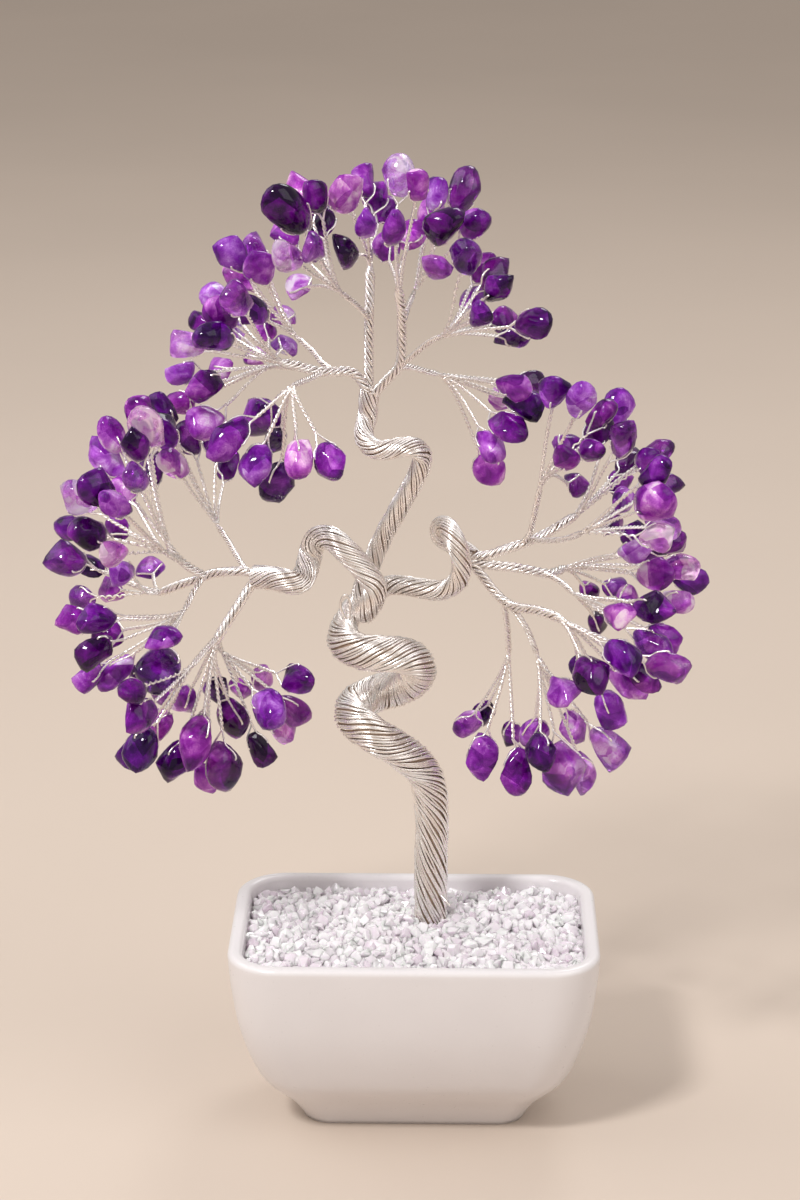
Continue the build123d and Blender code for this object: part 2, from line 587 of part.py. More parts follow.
def build_spray_wires(stem, chips, carriers):
    """A stem with the twisted pairs that it frays into, each ending in its chip's socket."""
    with BuildPart() as wires:
        with BuildLine() as route:
            Polyline(*stem.corners)
        with BuildSketch(Plane(origin=stem.corners[0], z_dir=stem.corners[1] - stem.corners[0])):
            RegularPolygon(radius=stem.radius, side_count=stem_sides)
        sweep(transition=Transition.RIGHT)
        for chip in chips:
            with BuildSketch(Plane(origin=chip.root, x_dir=chip.frame.y_dir, z_dir=chip.frame.x_dir)):
                RegularPolygon(radius=twig_radius, side_count=twig_sides)
            extrude(amount=(chip.frame.origin - chip.root).length + socket_depth)
        for carrier in carriers:
            add(carrier, mode=Mode.SUBTRACT)
    return keep(wires.part, f"{stem.name}_wires")


def build_spray_chips(name, chips):
    """The chips of one spray, each a stone of its own."""
    with BuildPart() as stones:
        for chip in chips:
            add(chip.shape.solid.moved(chip.frame.location))
    keep(stones.part, f"{name}_chips")


def build_tree(keepouts):
    """Build the trunk and the limbs, and hand them back by name."""
    foot_rise = Vector(0, 0, pot_floor + trunk_foot_rise)
    foot = place(trunk_route_shares[0][0], trunk_route_shares[0][1], 0) + foot_rise
    bundles = (
        ("trunk", trunk_route_shares, trunk_radius, trunk_sides, trunk_bend_spacing),
        ("limb_left", limb_left_route_shares, limb_left_radius, limb_sides, limb_bend_spacing),
        ("limb_top", limb_top_route_shares, limb_top_radius, limb_sides, limb_bend_spacing),
        ("limb_right", limb_right_route_shares, limb_right_radius, limb_sides, limb_bend_spacing),
    )
    built = {}
    for name, route_shares, radius, sides, spacing in bundles:
        points = [place(*shares) for shares in route_shares]
        if name == "trunk":
            points.insert(0, foot)
        corners = bends(points, spacing)
        keepouts.extend(bundle_keepouts(corners, radius, name))
        built[name] = build_bundle(name, corners, radius, sides, list(built.values()))
    return built


def chip_shape(number, size_share, shapes):
    """The shape of a chip: the kinds take turns, and each is built once for each size."""
    kind = number % len(chip_outline_shares)
    if (kind, size_share) not in shapes:
        shapes[kind, size_share] = build_chip_shape(chip_outline_shares[kind], size_share)
    return shapes[kind, size_share]


def build_crown(built, keepouts):
    """Build every spray: its stem and twigs, and its chips."""
    stems = []
    for spray in spray_shares:
        corners = bends([place(*shares) for shares in spray.route_shares], stem_bend_spacing)
        stem = Stem(spray.name, corners, stem_radius * spray.thickness_share)
        stems.append(stem)
        keepouts.extend(bundle_keepouts(corners, stem.radius, stem.name))

    shapes = {}
    placed = 0
    for spray, stem in zip(spray_shares, stems):
        chips = []
        sided = [(-1, wanted) for wanted in spray.front_shares]
        sided += [(1, wanted) for wanted in spray.back_shares]
        for side, wanted in sided:
            shape = chip_shape(placed, wanted[2], shapes)
            turn = chip_turn_degrees * math.sin(placed)
            chip, gap = place_chip(stem, wanted, side, shape, turn, keepouts)
            chips.append(chip)
            placed += 1
            if gap < chip_gap:
                print(spray.name, "chip", len(chips), "gap", round(gap, 2))
        carriers = [built[name] for name in spray.carriers]
        built[spray.name] = build_spray_wires(stem, chips, carriers)
        build_spray_chips(spray.name, chips)
    print("chips", placed)


def build_all():
    """Build every sub-part, each after the ones that carry it."""
    keepouts = []
    built = build_tree(keepouts)
    build_pot()
    build_plaster(built["trunk"])
    build_gravel(built["trunk"])
    build_crown(built, keepouts)


build_all()
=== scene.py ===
"""Looks of a gemstone tree ornament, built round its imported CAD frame.

The frame holds the pot, its fill, the bundles and the chips in their places. Here each bundle
gets its twisted strands, each chip becomes a polished stone held by its wire, the pot gets its
glaze and the bed its gravel. Lengths are in metres, up is +Z and the front is -Y.
"""

import json
import logging
import math
import random
from dataclasses import dataclass, field
from enum import Enum

import bmesh
import bpy
import numpy as np
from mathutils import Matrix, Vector
from mathutils.bvhtree import BVHTree

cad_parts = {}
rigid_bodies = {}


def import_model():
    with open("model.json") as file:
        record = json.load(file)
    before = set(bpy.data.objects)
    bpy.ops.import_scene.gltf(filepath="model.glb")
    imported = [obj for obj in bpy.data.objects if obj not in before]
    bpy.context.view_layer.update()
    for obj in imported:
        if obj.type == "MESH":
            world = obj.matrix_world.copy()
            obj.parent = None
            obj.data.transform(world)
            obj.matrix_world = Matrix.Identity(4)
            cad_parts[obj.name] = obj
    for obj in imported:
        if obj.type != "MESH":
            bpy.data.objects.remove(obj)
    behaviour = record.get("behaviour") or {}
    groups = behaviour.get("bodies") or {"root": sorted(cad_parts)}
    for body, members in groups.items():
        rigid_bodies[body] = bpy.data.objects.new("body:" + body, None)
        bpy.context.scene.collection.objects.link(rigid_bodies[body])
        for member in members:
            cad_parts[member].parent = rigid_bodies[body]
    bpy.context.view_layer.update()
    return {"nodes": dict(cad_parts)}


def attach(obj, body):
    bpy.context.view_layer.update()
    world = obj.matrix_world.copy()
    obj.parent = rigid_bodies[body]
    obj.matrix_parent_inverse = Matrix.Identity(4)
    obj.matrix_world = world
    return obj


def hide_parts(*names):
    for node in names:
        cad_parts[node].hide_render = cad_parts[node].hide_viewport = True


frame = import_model()

LOG = logging.getLogger("gem_tree")
MM = 0.001
BODY = "root"
# How near to each other two corners of a CAD node's loose triangles are one corner
WELD = 0.002 * MM

# The tree's sizes, which its routes are shares of
TREE_HEIGHT = 266 * MM
CROWN_WIDTH = 172 * MM
CROWN_DEPTH = 90 * MM
# How many fine steps a smooth path takes between two of its points
FINE_STEPS = 16

# The view of the photograph, whose frame is 800 by 1200 pixels
FRAME_WIDTH = 800
FRAME_HEIGHT = 1200
EYE = Vector((9.23, -758.54, 401.06)) * MM
AIM = Vector((-4.01, 0.0, 147.22)) * MM
LENS = 91.06
FILM_HEIGHT = 36.0

# Chips that stand out in the photograph, as columns and rows of its frame
PALE_CHIPS = (
    (287, 254), (322, 219), (399, 175), (189, 345), (145, 428), (75, 498), (69, 558),
    (113, 552), (619, 409), (654, 539), (691, 582), (585, 774), (284, 730), (297, 284),
)
DARK_CHIPS = (
    (289, 214), (343, 248), (304, 194), (444, 228), (257, 248), (217, 339), (259, 415),
    (174, 464), (106, 459), (99, 490), (87, 531), (150, 566), (95, 652), (175, 751),
    (141, 749), (298, 683), (527, 404), (682, 566), (591, 675), (654, 608), (480, 758),
    (540, 753), (277, 490),
)

# Noise runs from nought to one, so this is its middle
NOISE_MIDDLE = 0.5
# How strongly quartz and amethyst bend light
QUARTZ_INDEX = 1.54
BLACK = (0.0, 0.0, 0.0, 1.0)

Shares = tuple[tuple[float, float, float], ...]
Colour = tuple[float, float, float, float]
Stops = tuple[tuple[float, Colour], ...]
Place = tuple[float, float, float]


class InputKind(Enum):
    """What an input of a geometry tree holds."""

    NUMBER = "NodeSocketFloat"
    COUNT = "NodeSocketInt"
    MATERIAL = "NodeSocketMaterial"
    COLLECTION = "NodeSocketCollection"


class End(Enum):
    """The end at which a bundle thins out."""

    ROOT = "root"
    TIP = "tip"


def placed(shares: Shares) -> np.ndarray:
    """The points of a route in metres, one row each."""
    return np.array(shares) * (CROWN_WIDTH / 2, CROWN_DEPTH / 2, TREE_HEIGHT)


def smooth_path(points: np.ndarray, spacing: float) -> np.ndarray:
    """Walk a smooth curve through points in even steps.

    Args:
        points: The points that the curve goes through, as rows.
        spacing: The length of a step.

    Returns:
        The points of the walk, as rows.
    """
    padded = np.vstack([2 * points[0] - points[1], points, 2 * points[-1] - points[-2]])
    share = np.linspace(0, 1, FINE_STEPS, endpoint=False)[:, None]
    pieces = []
    for before, start, end, after in zip(padded, padded[1:], padded[2:], padded[3:]):
        pieces.append(0.5 * (2 * start + (end - before) * share
                             + (2 * before - 5 * start + 4 * end - after) * share**2
                             + (3 * start - before - 3 * end + after) * share**3))
    fine = np.vstack(pieces + [points[-1:]])
    walked = np.concatenate([[0], np.cumsum(np.linalg.norm(np.diff(fine, axis=0), axis=1))])
    steps = np.linspace(0, walked[-1], max(3, round(walked[-1] / spacing) + 1))
    return np.stack([np.interp(steps, walked, fine[:, axis]) for axis in range(3)], axis=1)


def unit(vector: np.ndarray) -> np.ndarray:
    """The vector at a length of one."""
    return vector / np.linalg.norm(vector)


def across_part(vector: np.ndarray, along: np.ndarray) -> np.ndarray:
    """What is left of a vector once its part along a direction is taken out."""
    return vector - along * vector.dot(along)


def seen_pixel(point: np.ndarray) -> np.ndarray:
    """The pixel of the photograph's frame at which a point is seen.

    Args:
        point: The point.

    Returns:
        The pixel, as its column and row.
    """
    sight = (AIM - EYE).normalized()
    right = sight.cross(Vector((0, 0, 1))).normalized()
    ray = Vector(point) - EYE
    scale = LENS / FILM_HEIGHT * FRAME_HEIGHT / ray.dot(sight)
    column = FRAME_WIDTH / 2 + ray.dot(right) * scale
    row = FRAME_HEIGHT / 2 - ray.dot(right.cross(sight)) * scale
    return np.array([column, row])


def welded(mesh: bpy.types.Mesh) -> bmesh.types.BMesh:
    """Copy a CAD node's mesh and merge its loose triangles at their corners.

    Args:
        mesh: The mesh, which is left as it is.

    Returns:
        The copy.
    """
    copy = bmesh.new()
    copy.from_mesh(mesh)
    bmesh.ops.remove_doubles(copy, verts=copy.verts, dist=WELD)
    return copy


def kept_mesh(name: str, shape: bmesh.types.BMesh) -> bpy.types.Mesh:
    """Write a shape into a new mesh and let the shape go.

    Args:
        name: The name of the mesh.
        shape: The shape.

    Returns:
        The mesh.
    """
    mesh = bpy.data.meshes.new(name)
    shape.to_mesh(mesh)
    shape.free()
    return mesh


def linked(name: str, data: bpy.types.ID) -> bpy.types.Object:
    """Link a new object that holds a mesh, a light or a camera.

    Args:
        name: The name of the object.
        data: What it holds.

    Returns:
        The object.
    """
    made = bpy.data.objects.new(name, data)
    bpy.context.collection.objects.link(made)
    return made


class Socket:
    """An output of a node that Python's arithmetic works on."""

    def __init__(self, graph: "Graph", output: bpy.types.NodeSocket) -> None:
        """Keep the output and the graph that it belongs to."""
        self.graph = graph
        self.output = output

    def beside(self, name: str) -> "Socket":
        """Another output of this one's node."""
        return Socket(self.graph, self.output.node.outputs[name])

    def maths(self, operation: str, *others: "Socket | float") -> "Socket":
        """Add a Math node that starts with this socket."""
        return self.graph.maths(operation, self, *others)

    def __add__(self, other: "Socket | float") -> "Socket":
        """This and the other added."""
        return self.maths("ADD", other)

    __radd__ = __add__

    def __mul__(self, other: "Socket | float") -> "Socket":
        """This times the other."""
        return self.maths("MULTIPLY", other)

    __rmul__ = __mul__

    def __sub__(self, other: "Socket | float") -> "Socket":
        """This less the other."""
        return self.maths("SUBTRACT", other)

    def __rsub__(self, other: float) -> "Socket":
        """The other less this."""
        return self.graph.maths("SUBTRACT", other, self)

    def __truediv__(self, other: "Socket | float") -> "Socket":
        """This over the other."""
        return self.maths("DIVIDE", other)

    def __rtruediv__(self, other: float) -> "Socket":
        """The other over this."""
        return self.graph.maths("DIVIDE", other, self)

    def __gt__(self, other: "Socket | float") -> "Socket":
        """One where this is greater than the other, or else nought."""
        return self.maths("GREATER_THAN", other)

    def clamped(self) -> "Socket":
        """This, kept between nought and one."""
        return self.maths("MAXIMUM", 0.0).maths("MINIMUM", 1.0)


@dataclass(frozen=True)
class Pattern:
    """A noise pattern: the rough size of a blot, its finer layers and how far it is warped."""

    size: float
    detail: float = 2.0
    warp: float = 0.0


class Graph:
    """A shader or geometry tree that nodes are added to."""

    def __init__(self, tree: bpy.types.NodeTree) -> None:
        """Start the tree empty."""
        self.tree = tree
        tree.nodes.clear()

    def add(self, kind: str, settings: dict | None = None, inputs: dict | None = None,
            output: int | str = 0) -> Socket:
        """Add a node.

        Args:
            kind: The node's type.
            settings: Its settings by name, with a ramp's stops under "stops".
            inputs: The values or links of its sockets, by index or name, with a list of links
                for a socket that takes several.
            output: Which of its outputs is wanted.

        Returns:
            That output, or an empty socket where the node has none.
        """
        node = self.tree.nodes.new(kind)
        for name, value in (settings or {}).items():
            if name == "stops":
                self.set_stops(node.color_ramp, value)
            else:
                setattr(node, name, value)
        for name, value in (inputs or {}).items():
            for part in value if isinstance(value, list) else [value]:
                if isinstance(part, Socket):
                    self.tree.links.new(part.output, node.inputs[name])
                else:
                    node.inputs[name].default_value = part
        return Socket(self, node.outputs[output] if node.outputs else None)

    @staticmethod
    def set_stops(ramp: bpy.types.ColorRamp, stops: Stops) -> None:
        """Give a colour ramp its stops.

        Args:
            ramp: The ramp.
            stops: The place and the colour of each stop.
        """
        while len(ramp.elements) < len(stops):
            ramp.elements.new(1.0)
        for element, (place, colour) in zip(ramp.elements, stops):
            element.position = place
            element.color = colour

    def maths(self, operation: str, *values: Socket | float) -> Socket:
        """Add a Math node on these values."""
        return self.add("ShaderNodeMath", {"operation": operation}, dict(enumerate(values)))

    def vectors(self, operation: str, *values: Socket | tuple) -> Socket:
        """Add a Vector Math node on these vectors."""
        return self.add("ShaderNodeVectorMath", {"operation": operation}, dict(enumerate(values)))

    def scaled(self, vector: Socket, scale: Socket | float) -> Socket:
        """A vector times a number."""
        return self.add("ShaderNodeVectorMath", {"operation": "SCALE"}, {0: vector, "Scale": scale})

    def combined(self, *values: Socket | float) -> Socket:
        """A vector made of three numbers."""
        return self.add("ShaderNodeCombineXYZ", {}, dict(enumerate(values)))

    def chance(self, low: float, high: float, inputs: dict[str, Socket]) -> Socket:
        """A number by chance between two others, by a seed and where wanted an ID."""
        return self.add("FunctionNodeRandomValue", {"data_type": "FLOAT"},
                        {2: low, 3: high, **inputs}, output=1)

    def moved(self, geometry: Socket, offset: Socket) -> Socket:
        """Geometry whose points are shifted."""
        return self.add("GeometryNodeSetPosition", {}, {"Geometry": geometry, "Offset": offset})

    def marked(self, geometry: Socket, label: str, value: Socket | bool, domain: str,
               kind: str = "FLOAT") -> Socket:
        """Geometry that carries a value under a label."""
        return self.add("GeometryNodeStoreNamedAttribute", {"data_type": kind, "domain": domain},
                        {"Geometry": geometry, "Name": label, "Value": value})

    def mixed(self, share: Socket | float, first: Socket | Colour, second: Socket | Colour,
              blend: str = "MIX") -> Socket:
        """Mix two colours.

        Args:
            share: The share of the second.
            first: The first colour.
            second: The second colour.
            blend: How they are blended.

        Returns:
            The mixed colour.
        """
        return self.add("ShaderNodeMix", {"data_type": "RGBA", "blend_type": blend},
                        {0: share, 6: first, 7: second}, output=2)

    def ramp(self, value: Socket, stops: Stops) -> Socket:
        """The colour of a ramp at a value."""
        return self.add("ShaderNodeValToRGB", {"stops": stops}, {0: value})

    def noise(self, pattern: Pattern, place: Socket | None = None) -> Socket:
        """Noise from nought to one, read on Object coordinates by default.

        Args:
            pattern: Its pattern.
            place: The coordinates it is read on.

        Returns:
            The noise.
        """
        return self.add("ShaderNodeTexNoise", {}, {
            "Vector": place or self.place(), "Scale": 1 / pattern.size, "Detail": pattern.detail,
            "Distortion": pattern.warp})

    def place(self) -> Socket:
        """Object coordinates."""
        return self.add("ShaderNodeTexCoord", output="Object")

    def attribute(self, name: str) -> Socket:
        """A number that the mesh carries."""
        return self.add("ShaderNodeAttribute", {"attribute_name": name}, output="Fac")

    def surface(self, **inputs: Socket | float | Colour) -> None:
        """End a material in a Principled shader.

        Args:
            inputs: Its sockets' values or links, by name with low lines for spaces.
        """
        named = {name.replace("_", " "): value for name, value in inputs.items()}
        shader = self.add("ShaderNodeBsdfPrincipled", {}, named)
        self.add("ShaderNodeOutputMaterial", {}, {"Surface": shader})

    def bumped(self, height: Socket, strength: float, distance: float) -> Socket:
        """The normal of a surface that a height from nought to one stands on."""
        return self.add("ShaderNodeBump", {},
                        {"Strength": strength, "Distance": distance, "Height": height})


@dataclass(frozen=True)
class Finish:
    """A finish: its material's own name, which no slot of the frame has, and its slot."""

    name: str
    slot: str

    def material(self) -> bpy.types.Material:
        """The material of this finish, painted the first time it is asked for.

        Returns:
            The material.
        """
        found = bpy.data.materials.get(self.name)
        if found:
            return found
        made = bpy.data.materials.new(self.name)
        made.use_nodes = True
        self.paint(Graph(made.node_tree))
        return made

    def paint(self, graph: Graph) -> None:
        """Paint the material.

        Args:
            graph: The material's tree.
        """
        raise NotImplementedError


@dataclass(frozen=True)
class WireFinish(Finish):
    """Bright wire, a little warm, with a faint unevenness along each strand."""

    dull: Colour = (0.90, 0.825, 0.77, 1.0)
    bright: Colour = (1.0, 0.975, 0.955, 1.0)
    blots: Pattern = Pattern(2.2 * MM, 3.0)
    strand_weight: float = 0.75
    blot_weight: float = 0.6
    tone_drop: float = 0.1
    roughness: float = 0.16
    roughness_spread: float = 0.24
    metal_share: float = 0.94

    def paint(self, graph: Graph) -> None:
        """Paint the wire, each strand in a tone of its own.

        Args:
            graph: The material's tree.
        """
        blots = graph.noise(self.blots)
        tone = graph.attribute("strand_tone") * self.strand_weight + blots * self.blot_weight
        colour = graph.mixed((tone - self.tone_drop).clamped(), self.dull, self.bright)
        graph.surface(Base_Color=colour, Metallic=self.metal_share,
                      Roughness=blots * self.roughness_spread + self.roughness)


@dataclass(frozen=True)
class PaintedShadeCoreFinish(Finish):
    """The heart of a bundle, painted dark brown as the shade that shows between its strands."""

    # Painted shade between the strands, with a paler painted shade in blots
    colour: Colour = (0.30, 0.205, 0.145, 1.0)
    paler_painted_shade: Colour = (0.46, 0.34, 0.26, 1.0)
    blots: Pattern = Pattern(3 * MM)
    metal_share: float = 0.4
    roughness: float = 0.55

    def paint(self, graph: Graph) -> None:
        """Paint the heart dull, in painted shade with blots of a paler painted shade.

        Args:
            graph: The material's tree.
        """
        graph.surface(Base_Color=graph.mixed(graph.noise(self.blots), self.colour, self.paler_painted_shade),
                      Metallic=self.metal_share, Roughness=self.roughness)


@dataclass(frozen=True)
class AmethystFinish(Finish):
    """Polished amethyst, banded and cloudy inside, more or less clear, with blots of painted inner glow.
    """

    clearness: float
    stops: Stops = (
        (0.0, (0.010, 0.000, 0.022, 1.0)), (0.2, (0.045, 0.001, 0.085, 1.0)),
        (0.4, (0.135, 0.004, 0.225, 1.0)), (0.6, (0.30, 0.025, 0.43, 1.0)),
        (0.78, (0.55, 0.15, 0.66, 1.0)), (0.9, (0.80, 0.43, 0.85, 1.0)),
        (1.0, (0.94, 0.80, 0.95, 1.0)),
    )
    bluer: Colour = (0.86, 0.97, 1.06, 1.0)
    redder: Colour = (1.06, 0.98, 0.95, 1.0)
    bands: Pattern = Pattern(9 * MM, 1.0, 0.6)
    clouds: Pattern = Pattern(4.2 * MM, 2.5, 1.2)
    veils: Pattern = Pattern(1.3 * MM, 5.0, 2.0)
    # Blots of painted inner glow
    lights: Pattern = Pattern(5.5 * MM, 1.0, 0.8)
    dents: Pattern = Pattern(2.4 * MM)
    crack_size: float = 6 * MM
    # How far each of them moves the depth of the colour
    band_weight: float = 0.9
    cloud_weight: float = 0.6
    crack_weight: float = 0.34
    veil_weight: float = 0.16
    veil_sharpness: float = 16.0
    # Painted inner glow: the level of its noise at which a stone starts to glow, how quickly and how
    # much
    painted_glow_level: float = 0.58
    painted_glow_sharpness: float = 7.0
    glow: float = 0.35
    dent_strength: float = 0.18
    dent_depth: float = 0.25 * MM
    roughness: float = 0.03
    roughness_spread: float = 0.08
    shine: float = 0.14

    def paint(self, graph: Graph) -> None:
        """Paint the stone: its own tone, broad bands, clouds, cracks, thin pale veils and blots of
        painted glow.

        Args:
            graph: The material's tree.
        """
        bands = graph.noise(self.bands) - NOISE_MIDDLE
        clouds = graph.noise(self.clouds)
        veils = graph.noise(self.veils) - NOISE_MIDDLE
        cells = graph.add("ShaderNodeTexVoronoi", {}, {
            "Vector": graph.place(), "Scale": 1 / self.crack_size}, output="Color")
        cracks = graph.add("ShaderNodeSeparateColor", {}, {0: cells}) - NOISE_MIDDLE
        depth = graph.attribute("stone_tone") + bands * self.band_weight
        depth = depth + (clouds - NOISE_MIDDLE) * self.cloud_weight + cracks * self.crack_weight
        thread = (1.0 - veils.maths("ABSOLUTE") * self.veil_sharpness).clamped()
        veiled = depth + thread * clouds * self.veil_weight
        hue = graph.mixed(graph.attribute("stone_hue"), self.bluer, self.redder)
        colour = graph.mixed(1.0, graph.ramp(veiled.clamped(), self.stops), hue, "MULTIPLY")
        # Painted glow: the stone gives off its own colour as light in blots, though it is no lamp
        painted_glow = ((graph.noise(self.lights) - self.painted_glow_level) * self.painted_glow_sharpness).clamped()
        dents = graph.bumped(graph.noise(self.dents), self.dent_strength, self.dent_depth)
        graph.surface(Base_Color=colour, Normal=dents, IOR=QUARTZ_INDEX,
                      Roughness=clouds * self.roughness_spread + self.roughness,
                      Specular_IOR_Level=self.shine, Transmission_Weight=self.clearness,
                      Emission_Color=graph.mixed(painted_glow, BLACK, colour), Emission_Strength=self.glow)


@dataclass(frozen=True)
class GlazeFinish(Finish):
    """White satin glaze, pooled a little darker here and there."""

    glaze: Colour = (0.755, 0.725, 0.73, 1.0)
    pooled: Colour = (0.69, 0.655, 0.66, 1.0)
    clouds: Pattern = Pattern(16 * MM, 3.0)
    specks: Pattern = Pattern(1.1 * MM)
    swells: Pattern = Pattern(7 * MM)
    pooled_share: float = 0.6
    speck_share: float = 0.2
    swell_strength: float = 0.25
    swell_height: float = 0.3 * MM
    roughness: float = 0.24
    roughness_spread: float = 0.12
    coat: float = 0.35
    coat_roughness: float = 0.12

    def paint(self, graph: Graph) -> None:
        """Paint the glaze with soft clouds, fine specks and a slight swell.

        Args:
            graph: The material's tree.
        """
        specks = graph.noise(self.specks)
        colour = graph.mixed(graph.noise(self.clouds) * self.pooled_share, self.glaze, self.pooled)
        height = graph.noise(self.swells) * (1 - self.speck_share) + specks * self.speck_share
        graph.surface(Base_Color=colour, Coat_Weight=self.coat, Coat_Roughness=self.coat_roughness,
                      Roughness=specks * self.roughness_spread + self.roughness,
                      Normal=graph.bumped(height, self.swell_strength, self.swell_height))


@dataclass(frozen=True)
class QuartzFinish(Finish):
    """Crushed quartz, milky with a lavender tint, and here and there a dark grain."""

    stops: Stops = (
        (0.0, (0.26, 0.20, 0.23, 1.0)), (0.03, (0.60, 0.52, 0.58, 1.0)),
        (0.12, (0.76, 0.68, 0.74, 1.0)), (0.45, (0.86, 0.81, 0.85, 1.0)),
        (1.0, (0.95, 0.925, 0.945, 1.0)),
    )
    clouds: Pattern = Pattern(1.6 * MM, 3.0)
    grain_weight: float = 0.85
    cloud_weight: float = 0.3
    tone_drop: float = 0.08
    roughness: float = 0.05
    roughness_spread: float = 0.2
    # How milky a grain is, how deep light goes into it and how clear it is
    milk: float = 0.7
    milk_colours: Place = (1.0, 0.85, 1.0)
    milk_depth: float = 2 * MM
    clearness: float = 0.08

    def paint(self, graph: Graph) -> None:
        """Paint each grain in a tone of its own, with milky clouds.

        Args:
            graph: The material's tree.
        """
        clouds = graph.noise(self.clouds)
        tone = graph.attribute("grain_tone") * self.grain_weight + clouds * self.cloud_weight
        colour = graph.ramp((tone - self.tone_drop).clamped(), self.stops)
        graph.surface(Base_Color=colour, IOR=QUARTZ_INDEX, Transmission_Weight=self.clearness,
                      Roughness=clouds * self.roughness_spread + self.roughness,
                      Subsurface_Weight=self.milk, Subsurface_Radius=self.milk_colours,
                      Subsurface_Scale=self.milk_depth)


@dataclass(frozen=True)
class PlainFinish(Finish):
    """A matt finish of one colour, faintly clouded."""

    colour: Colour
    roughness: float = 0.8
    clouds: Pattern = Pattern(4 * MM, 3.0)
    shade_share: float = 0.9

    def paint(self, graph: Graph) -> None:
        """Paint the colour with faint clouds.

        Args:
            graph: The material's tree.
        """
        darker = tuple(channel * self.shade_share for channel in self.colour[:3]) + (1.0,)
        colour = graph.mixed(graph.noise(self.clouds), self.colour, darker)
        graph.surface(Base_Color=colour, Roughness=self.roughness)


WIRE = WireFinish("bright_wire", "silver_wire")
PAINTED_SHADE_CORE = PaintedShadeCoreFinish("painted_shade_core", "silver_wire")
DEEP_AMETHYST = AmethystFinish("deep_amethyst", "amethyst", clearness=0.3)
CLEAR_AMETHYST = AmethystFinish("clear_amethyst", "amethyst", clearness=0.7)
GLAZE = GlazeFinish("satin_glaze", "pot_glaze")
QUARTZ = QuartzFinish("crushed_quartz", "quartz_gravel")
BED = PlainFinish("quartz_bed", "quartz_gravel", (0.86, 0.82, 0.84, 1.0), 0.4)
PLASTER = PlainFinish("plaster_fill", "plaster", (0.72, 0.70, 0.66, 1.0))
FLOOR = PlainFinish("pale_floor", "", (0.62, 0.52, 0.44, 1.0), 0.7, Pattern(300 * MM, 3.0))


def finished(piece: bpy.types.Object, finish: Finish, *nodes: str) -> None:
    """Hand a piece to the frame: its body and the nodes that it stands for.

    Args:
        piece: The piece, with its materials on it.
        finish: The finish that names its slot; not used.
        nodes: The CAD nodes that it replaces.
    """
    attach(piece, BODY)
    if nodes:
        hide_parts(*nodes)
    LOG.info("%s: %d faces", piece.name, len(piece.data.polygons))


class GrowingTree:
    """A geometry tree with named inputs, built once and run on many meshes."""

    def __init__(self, name: str, inputs: dict[str, tuple[InputKind, object]]) -> None:
        """Make the tree and its interface.

        Args:
            name: The tree's name.
            inputs: What each input holds and its usual value, by name.
        """
        self.group = bpy.data.node_groups.new(name, "GeometryNodeTree")
        self.graph = Graph(self.group)
        self.usual = {label: value for label, (_, value) in inputs.items()}
        face = self.group.interface
        for way in ("INPUT", "OUTPUT"):
            face.new_socket("Geometry", in_out=way, socket_type="NodeSocketGeometry")
        for label, (kind, value) in inputs.items():
            made = face.new_socket(label, in_out="INPUT", socket_type=kind.value)
            if kind in (InputKind.NUMBER, InputKind.COUNT):
                made.default_value = value
        self.entry = self.graph.tree.nodes.new("NodeGroupInput")

    def given(self, name: str) -> Socket:
        """An input of the tree."""
        return Socket(self.graph, self.entry.outputs[name])

    def stored(self, name: str, kind: str = "FLOAT") -> Socket:
        """A value that the points carry."""
        return self.graph.add("GeometryNodeInputNamedAttribute", {"data_type": kind}, {"Name": name})

    def finish(self, geometry: Socket, marked_material: str = "", mark: str = "") -> None:
        """End the tree: make the instances real and give the faces their materials.

        Args:
            geometry: What the tree has made.
            marked_material: The input of a second material, where there is one.
            mark: The mark on the faces that take it.
        """
        made = self.graph.add("GeometryNodeRealizeInstances", {}, {0: geometry})
        made = self.graph.add("GeometryNodeSetMaterial", {},
                              {"Geometry": made, "Material": self.given("Material")})
        if mark:
            made = self.graph.add("GeometryNodeSetMaterial", {}, {
                "Geometry": made, "Material": self.given(marked_material),
                "Selection": self.stored(mark, "BOOLEAN")})
        self.graph.add("NodeGroupOutput", {}, {"Geometry": made})

    def grow(self, name: str, seed_mesh: bpy.types.Mesh,
             values: dict[str, object] | None = None) -> bpy.types.Object:
        """Run the tree on a mesh and keep what it makes as a plain mesh.

        Args:
            name: The name of the piece.
            seed_mesh: The mesh that the tree starts from.
            values: The inputs that aren't as usual, by name.

        Returns:
            The piece, with no modifier left on it.
        """
        seedling = linked(f"{name}_seed", seed_mesh)
        modifier = seedling.modifiers.new("grow", "NODES")
        modifier.node_group = self.group
        wanted = self.usual | (values or {})
        for item in self.group.interface.items_tree:
            if item.item_type == "SOCKET" and item.in_out == "INPUT" and item.name in wanted:
                modifier[item.identifier] = wanted[item.name]
        graph = bpy.context.evaluated_depsgraph_get()
        mesh = bpy.data.meshes.new_from_object(seedling.evaluated_get(graph))
        bpy.data.objects.remove(seedling)
        mesh.name = name
        return linked(name, mesh)


